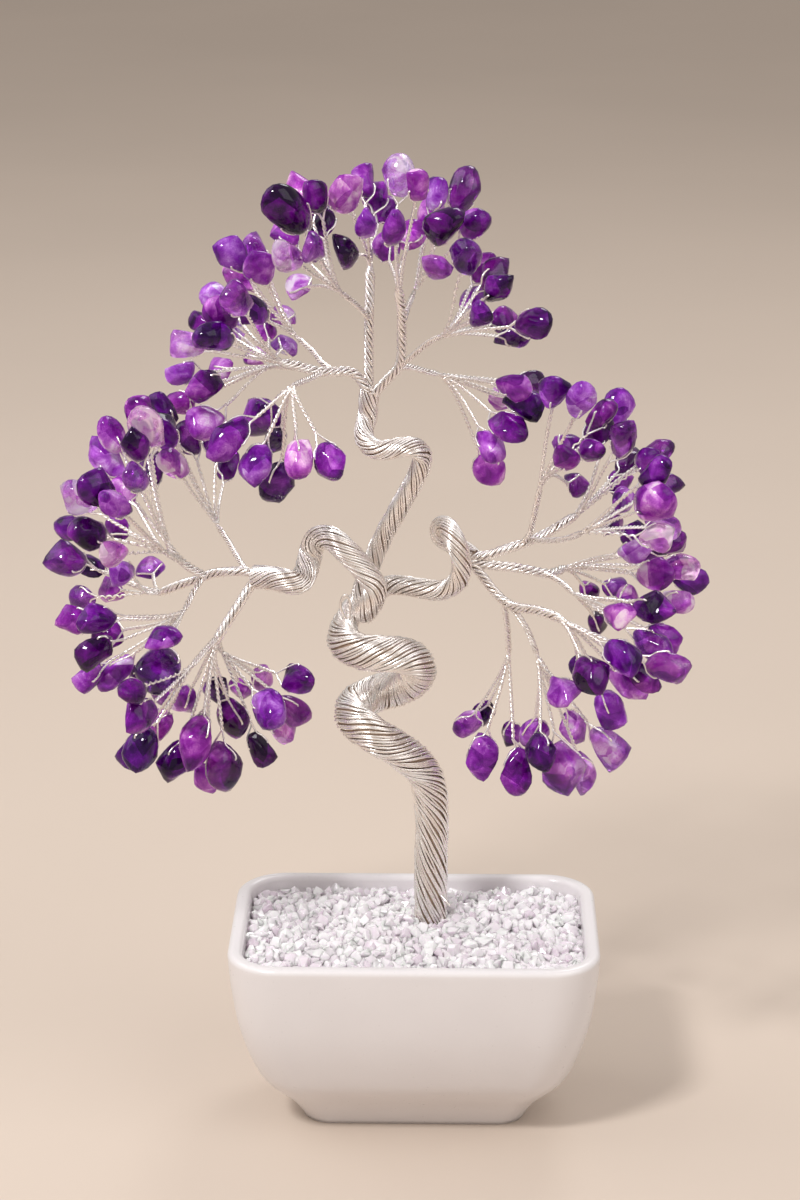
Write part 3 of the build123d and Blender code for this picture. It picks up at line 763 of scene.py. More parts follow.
@dataclass
class Run:
    """A run of wires laid round one line."""

    points: np.ndarray
    strands: int
    wire_radius: float
    lay_radius: np.ndarray | float = 0.0
    core_radius: np.ndarray | float = 0.0
    phase: float = 0.0
    lay_angle: np.ndarray | float = 0.0

    def turned(self) -> np.ndarray:
        """How far the strands have turned round the line at each of its points.

        Returns:
            The turns, in radians.
        """
        steps = np.linalg.norm(np.diff(self.points, axis=0), axis=1)
        reach = np.broadcast_to(self.lay_radius, len(self.points))
        angle = np.broadcast_to(self.lay_angle, len(self.points))
        if not reach.any():
            return np.zeros(len(self.points))
        return np.concatenate([[0], np.cumsum(steps * (np.tan(angle) / reach)[1:])])

    def carried(self) -> dict[str, np.ndarray]:
        """What the points of the run tell the geometry tree.

        Returns:
            A value for each point, by label.
        """
        values = {"strands": self.strands, "phase": self.phase, "wire_radius": self.wire_radius,
                  "lay_radius": self.lay_radius, "core_radius": self.core_radius,
                  "turned": self.turned()}
        return {label: np.ones(len(self.points)) * value for label, value in values.items()}


@dataclass
class WireWork:
    """Lays strands round runs, with one geometry tree for every bundle, twig and loop."""

    strand_sides: int = 6
    core_sides: int = 12
    # The room of a strand on its ring, as a share of its own thickness
    room_share: float = 1.03
    least_lay_share: float = 0.4
    least_heart: float = 0.03 * MM
    # From this many strands on they lie in bunches, in a wave from strand to strand
    bunched_from: float = 9.5
    bunching: float = 2.42
    bunching_share: float = 0.17
    bunch_lift_share: float = 0.25
    # How a strand strays: the length over which it drifts, and how strongly
    drift_length: float = 9 * MM
    drift_weight: float = 10.0
    chance_lift_share: float = 0.3
    drifting: Pattern = Pattern(1.0, 1.0)
    # How far apart the noise is read for runs, strands and seeds, and for the lift
    run_spread: float = 100.0
    strand_spread: float = 7.3
    seed_spread: float = 3.1
    lift_spread: Place = (31.0, 17.0, 5.0)
    least_core: float = 1e-5
    usual_wander: float = 0.05
    usual_slack: float = 0.1 * MM

    def __post_init__(self) -> None:
        """Build the tree."""
        self.tree = GrowingTree("twisted wires", {
            "Wander": (InputKind.NUMBER, self.usual_wander),
            "Slack": (InputKind.NUMBER, self.usual_slack),
            "Strand sides": (InputKind.COUNT, self.strand_sides),
            "Core sides": (InputKind.COUNT, self.core_sides), "Seed": (InputKind.COUNT, 0),
            "Material": (InputKind.MATERIAL, WIRE.material()),
            "Core material": (InputKind.MATERIAL, PAINTED_SHADE_CORE.material()),
        })
        self.build_tree()

    def build_tree(self) -> None:
        """Copy each line once for each strand, lay the copies round it and give them a section."""
        tree, graph = self.tree, self.tree.graph
        lines = graph.add("GeometryNodeMeshToCurve", {}, {"Mesh": tree.given("Geometry")})
        copies = graph.add("GeometryNodeDuplicateElements", {"domain": "SPLINE"},
                           {"Geometry": lines, "Amount": tree.stored("strands")})
        offset, chance = self.strayed(copies.beside("Duplicate Index"))
        strands = graph.marked(graph.moved(copies.beside("Geometry"), offset), "strand_tone",
                               chance * NOISE_MIDDLE + NOISE_MIDDLE, "POINT")
        coreless = graph.maths("LESS_THAN", tree.stored("core_radius"), self.least_core)
        hearts = graph.add("GeometryNodeDeleteGeometry", {"domain": "CURVE"},
                           {"Geometry": lines, "Selection": coreless})
        # The hearts are painted dark as the shade between the strands
        cores = graph.marked(self.piped(hearts, "core_radius", "Core sides"), "is_core", True,
                             "FACE", "BOOLEAN")
        joined = graph.add("GeometryNodeJoinGeometry", {}, {
            0: [self.piped(strands, "wire_radius", "Strand sides"), cores]})
        tree.finish(graph.add("GeometryNodeSetShadeSmooth", {}, {0: joined}), "Core material", "is_core")

    def strayed(self, number: Socket) -> tuple[Socket, Socket]:
        """Where a strand lies off its middle line, twisted and a little uneven.

        Args:
            number: The strand's number in its run.

        Returns:
            Its offset, and a number by chance of its own from minus one to one.
        """
        tree, graph = self.tree, self.tree.graph
        walked = graph.add("GeometryNodeSplineParameter", output="Length")
        seed, strands, reach = tree.given("Seed"), tree.stored("strands"), tree.stored("lay_radius")
        ident = number + tree.stored("phase") * self.run_spread
        chance = graph.chance(-1.0, 1.0, {"ID": ident, "Seed": seed})
        spot = graph.combined(walked / self.drift_length, ident * self.strand_spread,
                              seed * self.seed_spread)
        drift = graph.noise(self.drifting, spot) - NOISE_MIDDLE
        higher = graph.vectors("ADD", spot, self.lift_spread)
        lift = graph.noise(self.drifting, higher) - NOISE_MIDDLE
        bunch = number * self.bunching
        bunched = bunch.maths("SINE") * (strands > self.bunched_from) * self.bunching_share
        astray = drift * tree.given("Wander") * self.drift_weight + chance * tree.given("Wander")
        angle = (number + bunched + astray) * (2 * math.pi / strands)
        angle = angle + tree.stored("phase") * 2 * math.pi - tree.stored("turned")
        uneven = lift + chance * self.chance_lift_share + bunch.maths("COSINE") * self.bunch_lift_share
        away = reach + uneven * (tree.given("Slack") * (reach > 0.0))
        normal = graph.add("GeometryNodeInputNormal")
        aside = graph.vectors("CROSS_PRODUCT", graph.add("GeometryNodeInputTangent"), normal)
        offset = graph.vectors("ADD", graph.scaled(normal, angle.maths("COSINE") * away),
                               graph.scaled(aside, angle.maths("SINE") * away))
        return offset, chance

    def piped(self, curves: Socket, radius: str, sides: str) -> Socket:
        """Give curves a round section, closed at its ends.

        Args:
            curves: The curves.
            radius: The name of the radius that their points carry.
            sides: The name of the tree's input for the sides of the section.

        Returns:
            The mesh.
        """
        graph = self.tree.graph
        ring = graph.add("GeometryNodeCurvePrimitiveCircle", {"mode": "RADIUS"},
                         {"Resolution": self.tree.given(sides), "Radius": 1.0})
        return graph.add("GeometryNodeCurveToMesh", {}, {
            "Curve": curves, "Profile Curve": ring, "Scale": self.tree.stored(radius),
            "Fill Caps": True})

    def bundle(self, points: np.ndarray, radius: np.ndarray, wire_radius: float,
               lay_angle: np.ndarray | float) -> Run:
        """A run with as many strands as its girth takes, round a dark heart.

        Args:
            points: The middle line.
            radius: The radius of the bundle at each point.
            wire_radius: The radius of a wire.
            lay_angle: How steeply the strands cross the middle line, along it or all over.

        Returns:
            The run.
        """
        lay = np.maximum(radius - wire_radius, wire_radius * self.least_lay_share)
        girth_share = wire_radius * self.room_share / float(np.mean(lay * np.cos(lay_angle)))
        strands = max(3, round(math.pi / math.asin(girth_share)))
        heart = np.maximum(lay - wire_radius, self.least_heart)
        return Run(points, strands, wire_radius, lay, heart, 0.0, lay_angle)

    def lay(self, name: str, runs: list[Run], values: dict[str, object]) -> bpy.types.Object:
        """Make one piece of several runs.

        Args:
            name: The name of the piece.
            runs: Its runs.
            values: The inputs of the tree that aren't as usual, by name.

        Returns:
            The piece.
        """
        starts = np.cumsum([0] + [len(run.points) for run in runs])
        edges = [(spot, spot + 1) for first, last in zip(starts, starts[1:])
                 for spot in range(first, last - 1)]
        mesh = bpy.data.meshes.new(f"{name}_lines")
        mesh.from_pydata(np.vstack([run.points for run in runs]).tolist(), edges, [])
        carried = [run.carried() for run in runs]
        for label in carried[0]:
            layer = mesh.attributes.new(label, "FLOAT", "POINT")
            joined = np.concatenate([part[label] for part in carried])
            layer.data.foreach_set("value", joined.astype(np.float32))
        return self.tree.grow(name, mesh, values)


@dataclass
class Stone:
    """A chip as the frame has it: its cage of corners and the socket that it is drilled with."""

    corners: np.ndarray
    mouth: np.ndarray
    inward: np.ndarray
    tone: float = 0.5
    hue: float = 0.5
    clear: bool = False

    @property
    def middle(self) -> np.ndarray:
        """The middle of the stone's corners."""
        return (self.corners.min(axis=0) + self.corners.max(axis=0)) / 2

    @property
    def length(self) -> float:
        """How far the stone reaches from its drilled end."""
        return float(((self.corners - self.mouth) @ self.inward).max())

    @property
    def axes(self) -> np.ndarray:
        """The stone's own directions.

        Returns:
            The directions as rows: inwards, across its face and out of it.
        """
        flat = self.corners - self.corners.mean(axis=0)
        flat = flat - np.outer(flat @ self.inward, self.inward)
        wide = unit(across_part(np.linalg.svd(flat, full_matrices=False)[2][0], self.inward))
        return np.stack([self.inward, wide, np.cross(self.inward, wide)])


@dataclass
class Crown:
    """The stones of every spray, read from the frame and polished."""

    polish_levels: int = 2
    # Some edges of a stone, by chance, stay a little sharp under the polish
    crease: float = 0.45
    least_crease: float = 0.08
    sharp_share: float = 0.36
    dent: float = 0.8 * MM
    dent_size: float = 6 * MM
    denting: Pattern = Pattern(1.0)
    seed: int = 8
    # How far a corner is moved by chance, as a share of its stone's length
    shift_share: float = 0.07
    # Faces that meet at less than this are one face
    flat_angle: float = math.radians(2)
    tones: tuple[float, float] = (0.25, 0.76)
    pale_tones: tuple[float, float] = (0.8, 0.95)
    dark_tones: tuple[float, float] = (0.12, 0.27)
    clear_share: float = 0.18
    # How near to a chip of the photograph a stone is taken for it, in pixels
    near: float = 16.0
    # How deep under a stone's hull a corner has to be to belong to its socket
    skin: float = 0.02 * MM
    chance: random.Random = field(default_factory=lambda: random.Random(11))

    def __post_init__(self) -> None:
        """Build the polishing tree."""
        self.tree = GrowingTree("polished stones", {
            "Levels": (InputKind.COUNT, self.polish_levels),
            "Crease": (InputKind.NUMBER, self.crease),
            "Sharp share": (InputKind.NUMBER, self.sharp_share),
            "Dent": (InputKind.NUMBER, self.dent), "Dent size": (InputKind.NUMBER, self.dent_size),
            "Seed": (InputKind.COUNT, self.seed),
            "Material": (InputKind.MATERIAL, DEEP_AMETHYST.material()),
            "Clear material": (InputKind.MATERIAL, CLEAR_AMETHYST.material()),
        })
        self.build_tree()

    def build_tree(self) -> None:
        """Round off the cages, dent them a little and give them their materials."""
        tree, graph = self.tree, self.tree.graph
        sharp = graph.chance(0.0, 1.0, {"Seed": tree.given("Seed")}) > 1.0 - tree.given("Sharp share")
        rounded = graph.add("GeometryNodeSubdivisionSurface", {}, {
            "Mesh": tree.given("Geometry"), "Level": tree.given("Levels"),
            "Edge Crease": sharp * tree.given("Crease") + self.least_crease})
        place = graph.scaled(graph.add("GeometryNodeInputPosition"), 1.0 / tree.given("Dent size"))
        swing = (graph.noise(self.denting, place) - NOISE_MIDDLE) / NOISE_MIDDLE
        dent = graph.scaled(graph.add("GeometryNodeInputNormal"), swing * tree.given("Dent"))
        smooth = graph.add("GeometryNodeSetShadeSmooth", {}, {0: graph.moved(rounded, dent)})
        tree.finish(smooth, "Clear material", "is_clear")

    def read(self, node: bpy.types.Object) -> list[Stone]:
        """Read the stones of a CAD node.

        Args:
            node: The node, whose mesh is left as it is.

        Returns:
            Its stones.
        """
        copy = welded(node.data)
        left = set(copy.verts)
        stones = []
        for first in copy.verts:
            if first not in left:
                continue
            island = [first]
            left.discard(first)
            for corner in island:
                for edge in corner.link_edges:
                    other = edge.other_vert(corner)
                    if other in left:
                        left.discard(other)
                        island.append(other)
            stones.append(self.read_stone(island))
        copy.free()
        return stones

    def read_stone(self, island: list[bmesh.types.BMVert]) -> Stone:
        """Tell a stone's own corners from those of its socket, and choose its tone.

        Args:
            island: The corners of one stone and its socket.

        Returns:
            The stone.
        """
        hull = bmesh.new()
        bmesh.ops.convex_hull(hull, input=[hull.verts.new(corner.co) for corner in island])
        hull.normal_update()
        sides = [face for face in hull.faces if face.calc_area() > self.skin**2]
        floor = [corner for corner in island if all(
            (corner.co - face.verts[0].co).dot(face.normal) < -self.skin for face in sides)]
        hull.free()
        reached = {edge.other_vert(corner) for corner in floor for edge in corner.link_edges}
        mouth = [corner for corner in island if corner in reached and corner not in floor]
        outer = [tuple(corner.co) for corner in island if corner not in reached and corner not in floor]
        mouth_middle = np.mean([tuple(corner.co) for corner in mouth], axis=0)
        floor_middle = np.mean([tuple(corner.co) for corner in floor], axis=0)
        stone = Stone(np.array(outer), mouth_middle, unit(floor_middle - mouth_middle))
        self.choose_tone(stone)
        return stone

    def choose_tone(self, stone: Stone) -> None:
        """Give a stone the tone that it has in the photograph, or one by chance.

        Args:
            stone: The stone.
        """
        pixel = seen_pixel(stone.middle)
        to_pale, to_dark = (min(math.dist(pixel, chip) for chip in chips)
                            for chips in (PALE_CHIPS, DARK_CHIPS))
        stone.tone = self.chance.uniform(*self.tones)
        stone.hue = self.chance.random()
        stone.clear = self.chance.random() < self.clear_share
        if stone.middle[1] < 0 and min(to_pale, to_dark) < self.near:
            stone.clear = to_pale < to_dark
            stone.tone = self.chance.uniform(*(self.pale_tones if stone.clear else self.dark_tones))

    def polish(self, name: str, stones: list[Stone]) -> bpy.types.Object:
        """Make one piece of the stones of a spray.

        Args:
            name: The name of the piece.
            stones: The stones.

        Returns:
            The piece, each stone as large as its cage.
        """
        cages = bmesh.new()
        number = cages.verts.layers.int.new("stone")
        tone = cages.verts.layers.float.new("stone_tone")
        hue = cages.verts.layers.float.new("stone_hue")
        clear = cages.faces.layers.bool.new("is_clear")
        for index, stone in enumerate(stones):
            corners = [cages.verts.new(corner) for corner in stone.corners]
            made = bmesh.ops.convex_hull(cages, input=corners)["geom"]
            faces = [item for item in made if isinstance(item, bmesh.types.BMFace)]
            for face in faces:
                face[clear] = stone.clear
            for corner in corners:
                corner[number] = index
                corner[tone] = stone.tone
                corner[hue] = stone.hue
            # A dict keeps the edges in order, so that every run of the script is the same
            edges = list(dict.fromkeys(edge for face in faces for edge in face.edges))
            bmesh.ops.dissolve_limit(cages, angle_limit=self.flat_angle, verts=corners,
                                     edges=edges, use_dissolve_boundaries=False)
            for corner in (corner for corner in corners if corner.is_valid):
                corner.co += Vector([self.chance.uniform(-self.shift_share, self.shift_share)
                                     * stone.length for _ in range(3)])
        bmesh.ops.recalc_face_normals(cages, faces=cages.faces)
        piece = self.tree.grow(name, kept_mesh(f"{name}_cages", cages))
        self.fit(piece.data, stones)
        return piece

    @staticmethod
    def fit(mesh: bpy.types.Mesh, stones: list[Stone]) -> None:
        """Bring each stone of a mesh back to its cage's size and place.

        Args:
            mesh: The mesh, whose points carry their stone's number.
            stones: The stones.
        """
        points = np.empty(len(mesh.vertices) * 3)
        mesh.vertices.foreach_get("co", points)
        points = points.reshape(-1, 3)
        numbers = np.empty(len(points), int)
        mesh.attributes["stone"].data.foreach_get("value", numbers)
        for index, stone in enumerate(stones):
            own = numbers == index
            cage = stone.corners @ stone.axes.T
            grown_points = points[own] @ stone.axes.T
            low, high = grown_points.min(axis=0), grown_points.max(axis=0)
            share = (grown_points - low) / (high - low)
            points[own] = (cage.min(axis=0) + share * np.ptp(cage, axis=0)) @ stone.axes
        mesh.vertices.foreach_set("co", points.ravel())
        mesh.update()

    @staticmethod
    def surfaces(mesh: bpy.types.Mesh, count: int) -> list[BVHTree]:
        """The surface of each stone of a mesh, for wires to be laid on.

        Args:
            mesh: The mesh, whose points carry their stone's number.
            count: How many stones it has.

        Returns:
            One surface for each stone.
        """
        points = [vertex.co.copy() for vertex in mesh.vertices]
        numbers = mesh.attributes["stone"].data
        faces = [[] for _ in range(count)]
        for face in mesh.polygons:
            corners = tuple(face.vertices)
            faces[numbers[corners[0]].value].append(corners)
        return [BVHTree.FromPolygons(points, own) for own in faces]


@dataclass(frozen=True)
class Stem:
    """A bare stem: its name, its thickness share and its route."""

    name: str
    thickness_share: float
    route_shares: Shares


# Routes, as shares of half the crown's width, half its depth and the tree's height
TRUNK_ROUTE_SHARES = (
    (0.051, 0.11, 0.255), (0.054, 0.11, 0.299), (0.050, 0.09, 0.334), (0.028, 0.02, 0.369),
    (-0.037, -0.09, 0.398), (-0.113, -0.16, 0.418), (-0.176, -0.09, 0.428), (-0.196, 0.02, 0.433),
    (-0.173, 0.13, 0.439), (-0.117, 0.18, 0.444), (-0.054, 0.13, 0.453), (-0.010, 0.02, 0.468),
    (0.010, -0.11, 0.488), (-0.020, -0.20, 0.506), (-0.093, -0.24, 0.511), (-0.167, -0.20, 0.511),
    (-0.217, -0.09, 0.515), (-0.218, 0.02, 0.524), (-0.197, 0.09, 0.537), (-0.173, 0.10, 0.550),
)
LIMB_LEFT_ROUTE_SHARES = (
    (-0.166, 0.00, 0.534), (-0.134, -0.09, 0.555), (-0.122, -0.11, 0.572), (-0.143, -0.11, 0.585),
    (-0.179, -0.11, 0.600), (-0.218, -0.11, 0.613), (-0.258, -0.07, 0.621), (-0.300, 0.02, 0.616),
    (-0.320, 0.07, 0.599), (-0.331, 0.02, 0.585), (-0.351, -0.07, 0.576), (-0.396, -0.09, 0.578),
    (-0.443, -0.04, 0.578), (-0.493, 0.00, 0.577),
)
LIMB_TOP_ROUTE_SHARES = (
    (-0.183, 0.09, 0.536), (-0.165, 0.11, 0.557), (-0.128, 0.11, 0.591), (-0.096, 0.09, 0.616),
    (-0.059, 0.04, 0.641), (-0.019, 0.00, 0.667), (0.011, -0.02, 0.688), (0.020, -0.04, 0.705),
    (-0.004, -0.09, 0.715), (-0.040, -0.11, 0.716), (-0.082, -0.11, 0.713), (-0.124, -0.09, 0.713),
    (-0.151, -0.04, 0.719), (-0.155, 0.00, 0.729), (-0.143, 0.02, 0.742), (-0.140, 0.00, 0.756),
    (-0.137, 0.00, 0.767),
)
LIMB_RIGHT_ROUTE_SHARES = (
    (-0.155, 0.07, 0.536), (-0.128, 0.09, 0.552), (-0.094, 0.09, 0.562), (-0.053, 0.07, 0.565),
    (-0.007, 0.04, 0.565), (0.045, 0.02, 0.563), (0.094, 0.00, 0.565), (0.131, -0.04, 0.576),
    (0.142, -0.09, 0.593), (0.133, -0.11, 0.611), (0.115, -0.09, 0.624), (0.093, -0.02, 0.631),
    (0.075, 0.07, 0.625), (0.078, 0.13, 0.613), (0.109, 0.16, 0.604), (0.146, 0.13, 0.598),
    (0.176, 0.09, 0.593),
)

STEMS = (
    Stem("peak", 1,
         ((-0.137, 0.00, 0.762), (-0.140, 0.02, 0.777), (-0.140, 0.04, 0.811), (-0.139, 0.04, 0.841),
          (-0.137, 0.09, 0.863), (-0.137, 0.13, 0.889))),
    Stem("peak_left", 0.65,
         ((-0.139, 0.02, 0.838), (-0.176, -0.09, 0.856), (-0.226, -0.22, 0.874))),
    Stem("peak_front", 1,
         ((-0.124, -0.02, 0.765), (-0.085, -0.04, 0.780), (-0.046, -0.07, 0.797), (-0.040, -0.13, 0.831),
          (-0.039, -0.20, 0.853), (-0.050, -0.31, 0.883))),
    Stem("peak_back", 0.65,
         ((-0.040, -0.13, 0.833), (-0.027, 0.09, 0.844), (-0.004, 0.31, 0.855))),
    Stem("peak_right", 0.65,
         ((-0.046, -0.07, 0.795), (-0.010, -0.11, 0.806), (0.038, -0.18, 0.822), (0.088, -0.27, 0.834))),
    Stem("shoulder_right", 0.65,
         ((-0.052, -0.07, 0.794), (-0.017, 0.00, 0.791), (0.031, 0.09, 0.783), (0.082, 0.18, 0.775))),
    Stem("shoulder_left_front", 1,
         ((-0.137, 0.00, 0.763), (-0.169, -0.02, 0.781), (-0.198, -0.04, 0.788), (-0.240, -0.07, 0.789),
          (-0.289, -0.11, 0.791), (-0.344, -0.18, 0.799), (-0.406, -0.27, 0.807))),
    Stem("shoulder_left_high", 0.65,
         ((-0.243, -0.07, 0.789), (-0.277, 0.00, 0.794), (-0.318, 0.11, 0.804), (-0.369, 0.22, 0.813))),
    Stem("shoulder_left_back", 0.65,
         ((-0.312, -0.13, 0.794), (-0.360, 0.09, 0.786), (-0.404, 0.27, 0.779), (-0.448, 0.40, 0.774))),
    Stem("shoulder_left_low", 0.65,
         ((-0.279, -0.12, 0.790), (-0.308, -0.22, 0.789), (-0.358, -0.44, 0.791))),
    Stem("left_middle", 1,
         ((-0.481, 0.00, 0.577), (-0.518, 0.02, 0.581), (-0.568, 0.04, 0.580), (-0.623, 0.09, 0.575),
          (-0.668, 0.13, 0.567), (-0.737, 0.20, 0.556), (-0.804, 0.29, 0.542))),
    Stem("left_inner", 0.65,
         ((-0.512, 0.02, 0.580), (-0.539, 0.09, 0.588), (-0.580, 0.22, 0.602), (-0.622, 0.36, 0.613))),
    Stem("left_upper_back", 0.9,
         ((-0.645, 0.11, 0.571), (-0.691, 0.04, 0.584), (-0.730, -0.02, 0.599), (-0.758, -0.04, 0.615))),
    Stem("left_upper_front", 0.65,
         ((-0.710, -0.01, 0.592), (-0.728, -0.18, 0.606), (-0.749, -0.40, 0.625))),
    Stem("left_lower", 0.65,
         ((-0.655, 0.11, 0.570), (-0.677, 0.04, 0.561), (-0.695, -0.04, 0.552), (-0.707, -0.13, 0.546))),
    Stem("left_bottom_front", 1,
         ((-0.481, 0.00, 0.576), (-0.508, -0.04, 0.567), (-0.547, -0.09, 0.548), (-0.580, -0.13, 0.533),
          (-0.616, -0.18, 0.514))),
    Stem("left_bottom_outer", 0.65,
         ((-0.601, -0.16, 0.523), (-0.637, -0.33, 0.518), (-0.673, -0.49, 0.510))),
    Stem("left_bottom_back", 0.65,
         ((-0.598, -0.16, 0.524), (-0.609, 0.09, 0.500), (-0.609, 0.31, 0.479))),
    Stem("right_upper_back", 1,
         ((0.167, 0.09, 0.594), (0.225, 0.09, 0.596), (0.274, 0.09, 0.602), (0.338, 0.11, 0.608),
          (0.406, 0.16, 0.616), (0.455, 0.20, 0.624), (0.504, 0.22, 0.633))),
    Stem("right_inner", 0.65,
         ((0.326, 0.11, 0.607), (0.349, 0.04, 0.621), (0.364, -0.09, 0.654), (0.377, -0.18, 0.684))),
    Stem("right_upper_front", 0.65,
         ((0.351, 0.11, 0.611), (0.409, -0.04, 0.618), (0.460, -0.20, 0.629), (0.504, -0.36, 0.644))),
    Stem("right_middle_back", 1,
         ((0.170, 0.09, 0.590), (0.210, 0.09, 0.586), (0.305, 0.09, 0.583), (0.401, 0.13, 0.575),
          (0.434, 0.22, 0.572), (0.466, 0.31, 0.572))),
    Stem("right_middle", 0.65,
         ((0.389, 0.13, 0.576), (0.440, 0.04, 0.572), (0.490, -0.09, 0.564))),
    Stem("right_lower_front", 1,
         ((0.160, 0.10, 0.591), (0.198, 0.07, 0.578), (0.247, 0.00, 0.561), (0.296, -0.09, 0.553),
          (0.378, -0.27, 0.558), (0.451, -0.44, 0.558))),
    Stem("right_bottom", 0.65,
         ((0.284, -0.07, 0.555), (0.320, -0.09, 0.541), (0.352, -0.11, 0.523), (0.380, -0.13, 0.498))),
    Stem("right_bottom_inner", 0.65,
         ((0.268, -0.04, 0.558), (0.279, 0.04, 0.536), (0.287, 0.13, 0.511), (0.292, 0.22, 0.481))),
)


@dataclass
class Tree:
    """The wire tree: a trunk, three limbs and the stems and twigs that carry the chips."""

    # Share of the trunk's length and its radius there
    trunk_swell: tuple[tuple[float, float], ...] = (
        (0.0, 4.35 * MM), (0.3, 4.5 * MM), (0.5, 4.8 * MM), (0.7, 5.1 * MM), (0.92, 4.7 * MM),
        (1.0, 2.4 * MM),
    )
    # Share of the trunk's length and how steeply its strands cross it there
    trunk_lay: tuple[tuple[float, float], ...] = (
        (0.0, math.radians(22)), (0.38, math.radians(27)), (0.5, math.radians(40)),
        (0.75, math.radians(47)), (1.0, math.radians(36)),
    )
    trunk_wire_radius: float = 0.34 * MM
    trunk_wander: float = 0.16
    trunk_slack: float = 0.5 * MM
    trunk_seed: int = 1
    foot_height: float = 12 * MM
    # Single wires that stand out of the trunk: a small loop at its top and an end at its foot
    stray_routes: tuple[Shares, ...] = (
        ((-0.196, -0.02, 0.526), (-0.221, -0.04, 0.541), (-0.228, -0.04, 0.552),
         (-0.214, -0.04, 0.561), (-0.199, -0.04, 0.553), (-0.201, -0.02, 0.536)),
        ((0.070, 0.06, 0.234), (0.086, 0.04, 0.2305), (0.098, 0.02, 0.2275), (0.112, 0.0, 0.2230)),
    )
    limbs: tuple[tuple[str, Shares, float], ...] = (
        ("limb_left", LIMB_LEFT_ROUTE_SHARES, 3.2 * MM),
        ("limb_top", LIMB_TOP_ROUTE_SHARES, 2.6 * MM),
        ("limb_right", LIMB_RIGHT_ROUTE_SHARES, 2.7 * MM),
    )
    limb_wire_radius: float = 0.31 * MM
    limb_lay: float = math.radians(30)
    limb_wander: float = 0.1
    limb_slack: float = 0.3 * MM
    limb_seed: int = 2
    # A bundle's thickness at its end as a share, and how far from the end it is whole
    thin_end_share: float = 0.5
    thinning: float = 3 * MM
    stem_radius: float = 1.35 * MM
    stem_wire_share: float = 0.32
    stem_lay: float = math.radians(33)
    spray_slack: float = 0.04 * MM
    spray_seed: int = 20
    twig_wire_radius: float = 0.275 * MM
    twig_lay: float = math.radians(31)
    # How far the pair's wires lie from their middle line, in radii of the wire
    pair_reach_share: float = 0.95
    twig_root_share: float = 0.55
    twig_curve_share: float = 0.28
    twig_curve_steps: int = 24
    # Where the twist ends before a stone, and how deep in the stone the hole begins
    twist_end: float = 1.9 * MM
    hole_share: float = 0.36
    # How the plane of a loop is turned round its stone
    loop_turns: tuple[float, ...] = (0.0, 0.0, 0.5, -0.6, 1.2)
    loop_sway: float = 0.25
    loop_steps: int = 5
    loop_start: float = 0.25 * MM
    # Places of a leg's wire, in its own radii: at the twist, on the stone and in the hole
    leg_start_share: float = 0.5
    leg_height_share: float = 0.7
    leg_sink_share: float = 2.5
    # Further than any stone is wide
    clear_of_stone: float = 30 * MM
    bundle_step: float = 1.4 * MM
    stem_step: float = 1.0 * MM
    twig_step: float = 0.45 * MM
    leg_step: float = 0.5 * MM
    work: WireWork = field(default_factory=WireWork)
    crown: Crown = field(default_factory=Crown)
    chance: random.Random = field(default_factory=lambda: random.Random(5))

    def build(self) -> None:
        """Build the trunk, the limbs and every spray."""
        self.build_trunk()
        for number, (name, route_shares, radius) in enumerate(self.limbs):
            line = smooth_path(placed(route_shares), self.bundle_step)
            run = self.work.bundle(line, self.thinned(line, radius, End.ROOT),
                                   self.limb_wire_radius, self.limb_lay)
            piece = self.work.lay(f"{name}_strands", [run], {
                "Seed": number + self.limb_seed, "Wander": self.limb_wander,
                "Slack": self.limb_slack})
            finished(piece, WIRE, name)
        for number, stem in enumerate(STEMS):
            self.build_spray(number, stem)

    def build_trunk(self) -> None:
        """Build the trunk, which swells in its bends and thins towards the fork."""
        points = placed(TRUNK_ROUTE_SHARES)
        foot = points[0] * (1, 1, 0) + (0, 0, self.foot_height)
        line = smooth_path(np.vstack([foot, points]), self.bundle_step)
        radius, lay = (np.interp(np.linspace(0, 1, len(line)), *zip(*table))
                       for table in (self.trunk_swell, self.trunk_lay))
        runs = [self.work.bundle(line, radius, self.trunk_wire_radius, lay)]
        runs += [Run(smooth_path(placed(route), self.leg_step), 1, self.trunk_wire_radius)
                 for route in self.stray_routes]
        piece = self.work.lay("trunk_strands", runs, {
            "Seed": self.trunk_seed, "Wander": self.trunk_wander, "Slack": self.trunk_slack})
        finished(piece, WIRE, "trunk")

    def thinned(self, line: np.ndarray, radius: float, end: End) -> np.ndarray:
        """A bundle's radius along its line, where it thins out towards one end.

        Args:
            line: Its middle line.
            radius: Its whole radius.
            end: The end at which it thins.

        Returns:
            The radius at each point.
        """
        steps = np.linalg.norm(np.diff(line, axis=0), axis=1)
        walked = np.concatenate([[0], np.cumsum(steps)])
        from_end = walked if end is End.ROOT else walked[-1] - walked
        reach = min(self.thinning, walked[-1] / 2)
        return radius * np.interp(from_end, (0, reach), (self.thin_end_share, 1))

    def build_spray(self, number: int, stem: Stem) -> None:
        """Build a spray: its polished stones, its stem, its twigs and the loops round the stones.

        Args:
            number: The spray's place among the sprays.
            stem: The spray's stem.
        """
        node = f"{stem.name}_chips"
        stones = self.crown.read(frame["nodes"][node])
        gems = self.crown.polish(f"{stem.name}_stones", stones)
        surfaces = Crown.surfaces(gems.data, len(stones))
        finished(gems, DEEP_AMETHYST, node)

        line = smooth_path(placed(stem.route_shares), self.stem_step)
        radius = self.stem_radius * stem.thickness_share
        runs = [self.work.bundle(line, self.thinned(line, radius, End.TIP),
                                 radius * self.stem_wire_share, self.stem_lay)]
        for stone, surface in zip(stones, surfaces):
            runs.append(self.twig(line, radius, stone))
            runs.extend(self.loop(stone, surface))
        piece = self.work.lay(f"{stem.name}_strands", runs, {
            "Seed": number + self.spray_seed, "Slack": self.spray_slack})
        finished(piece, WIRE, f"{stem.name}_wires")

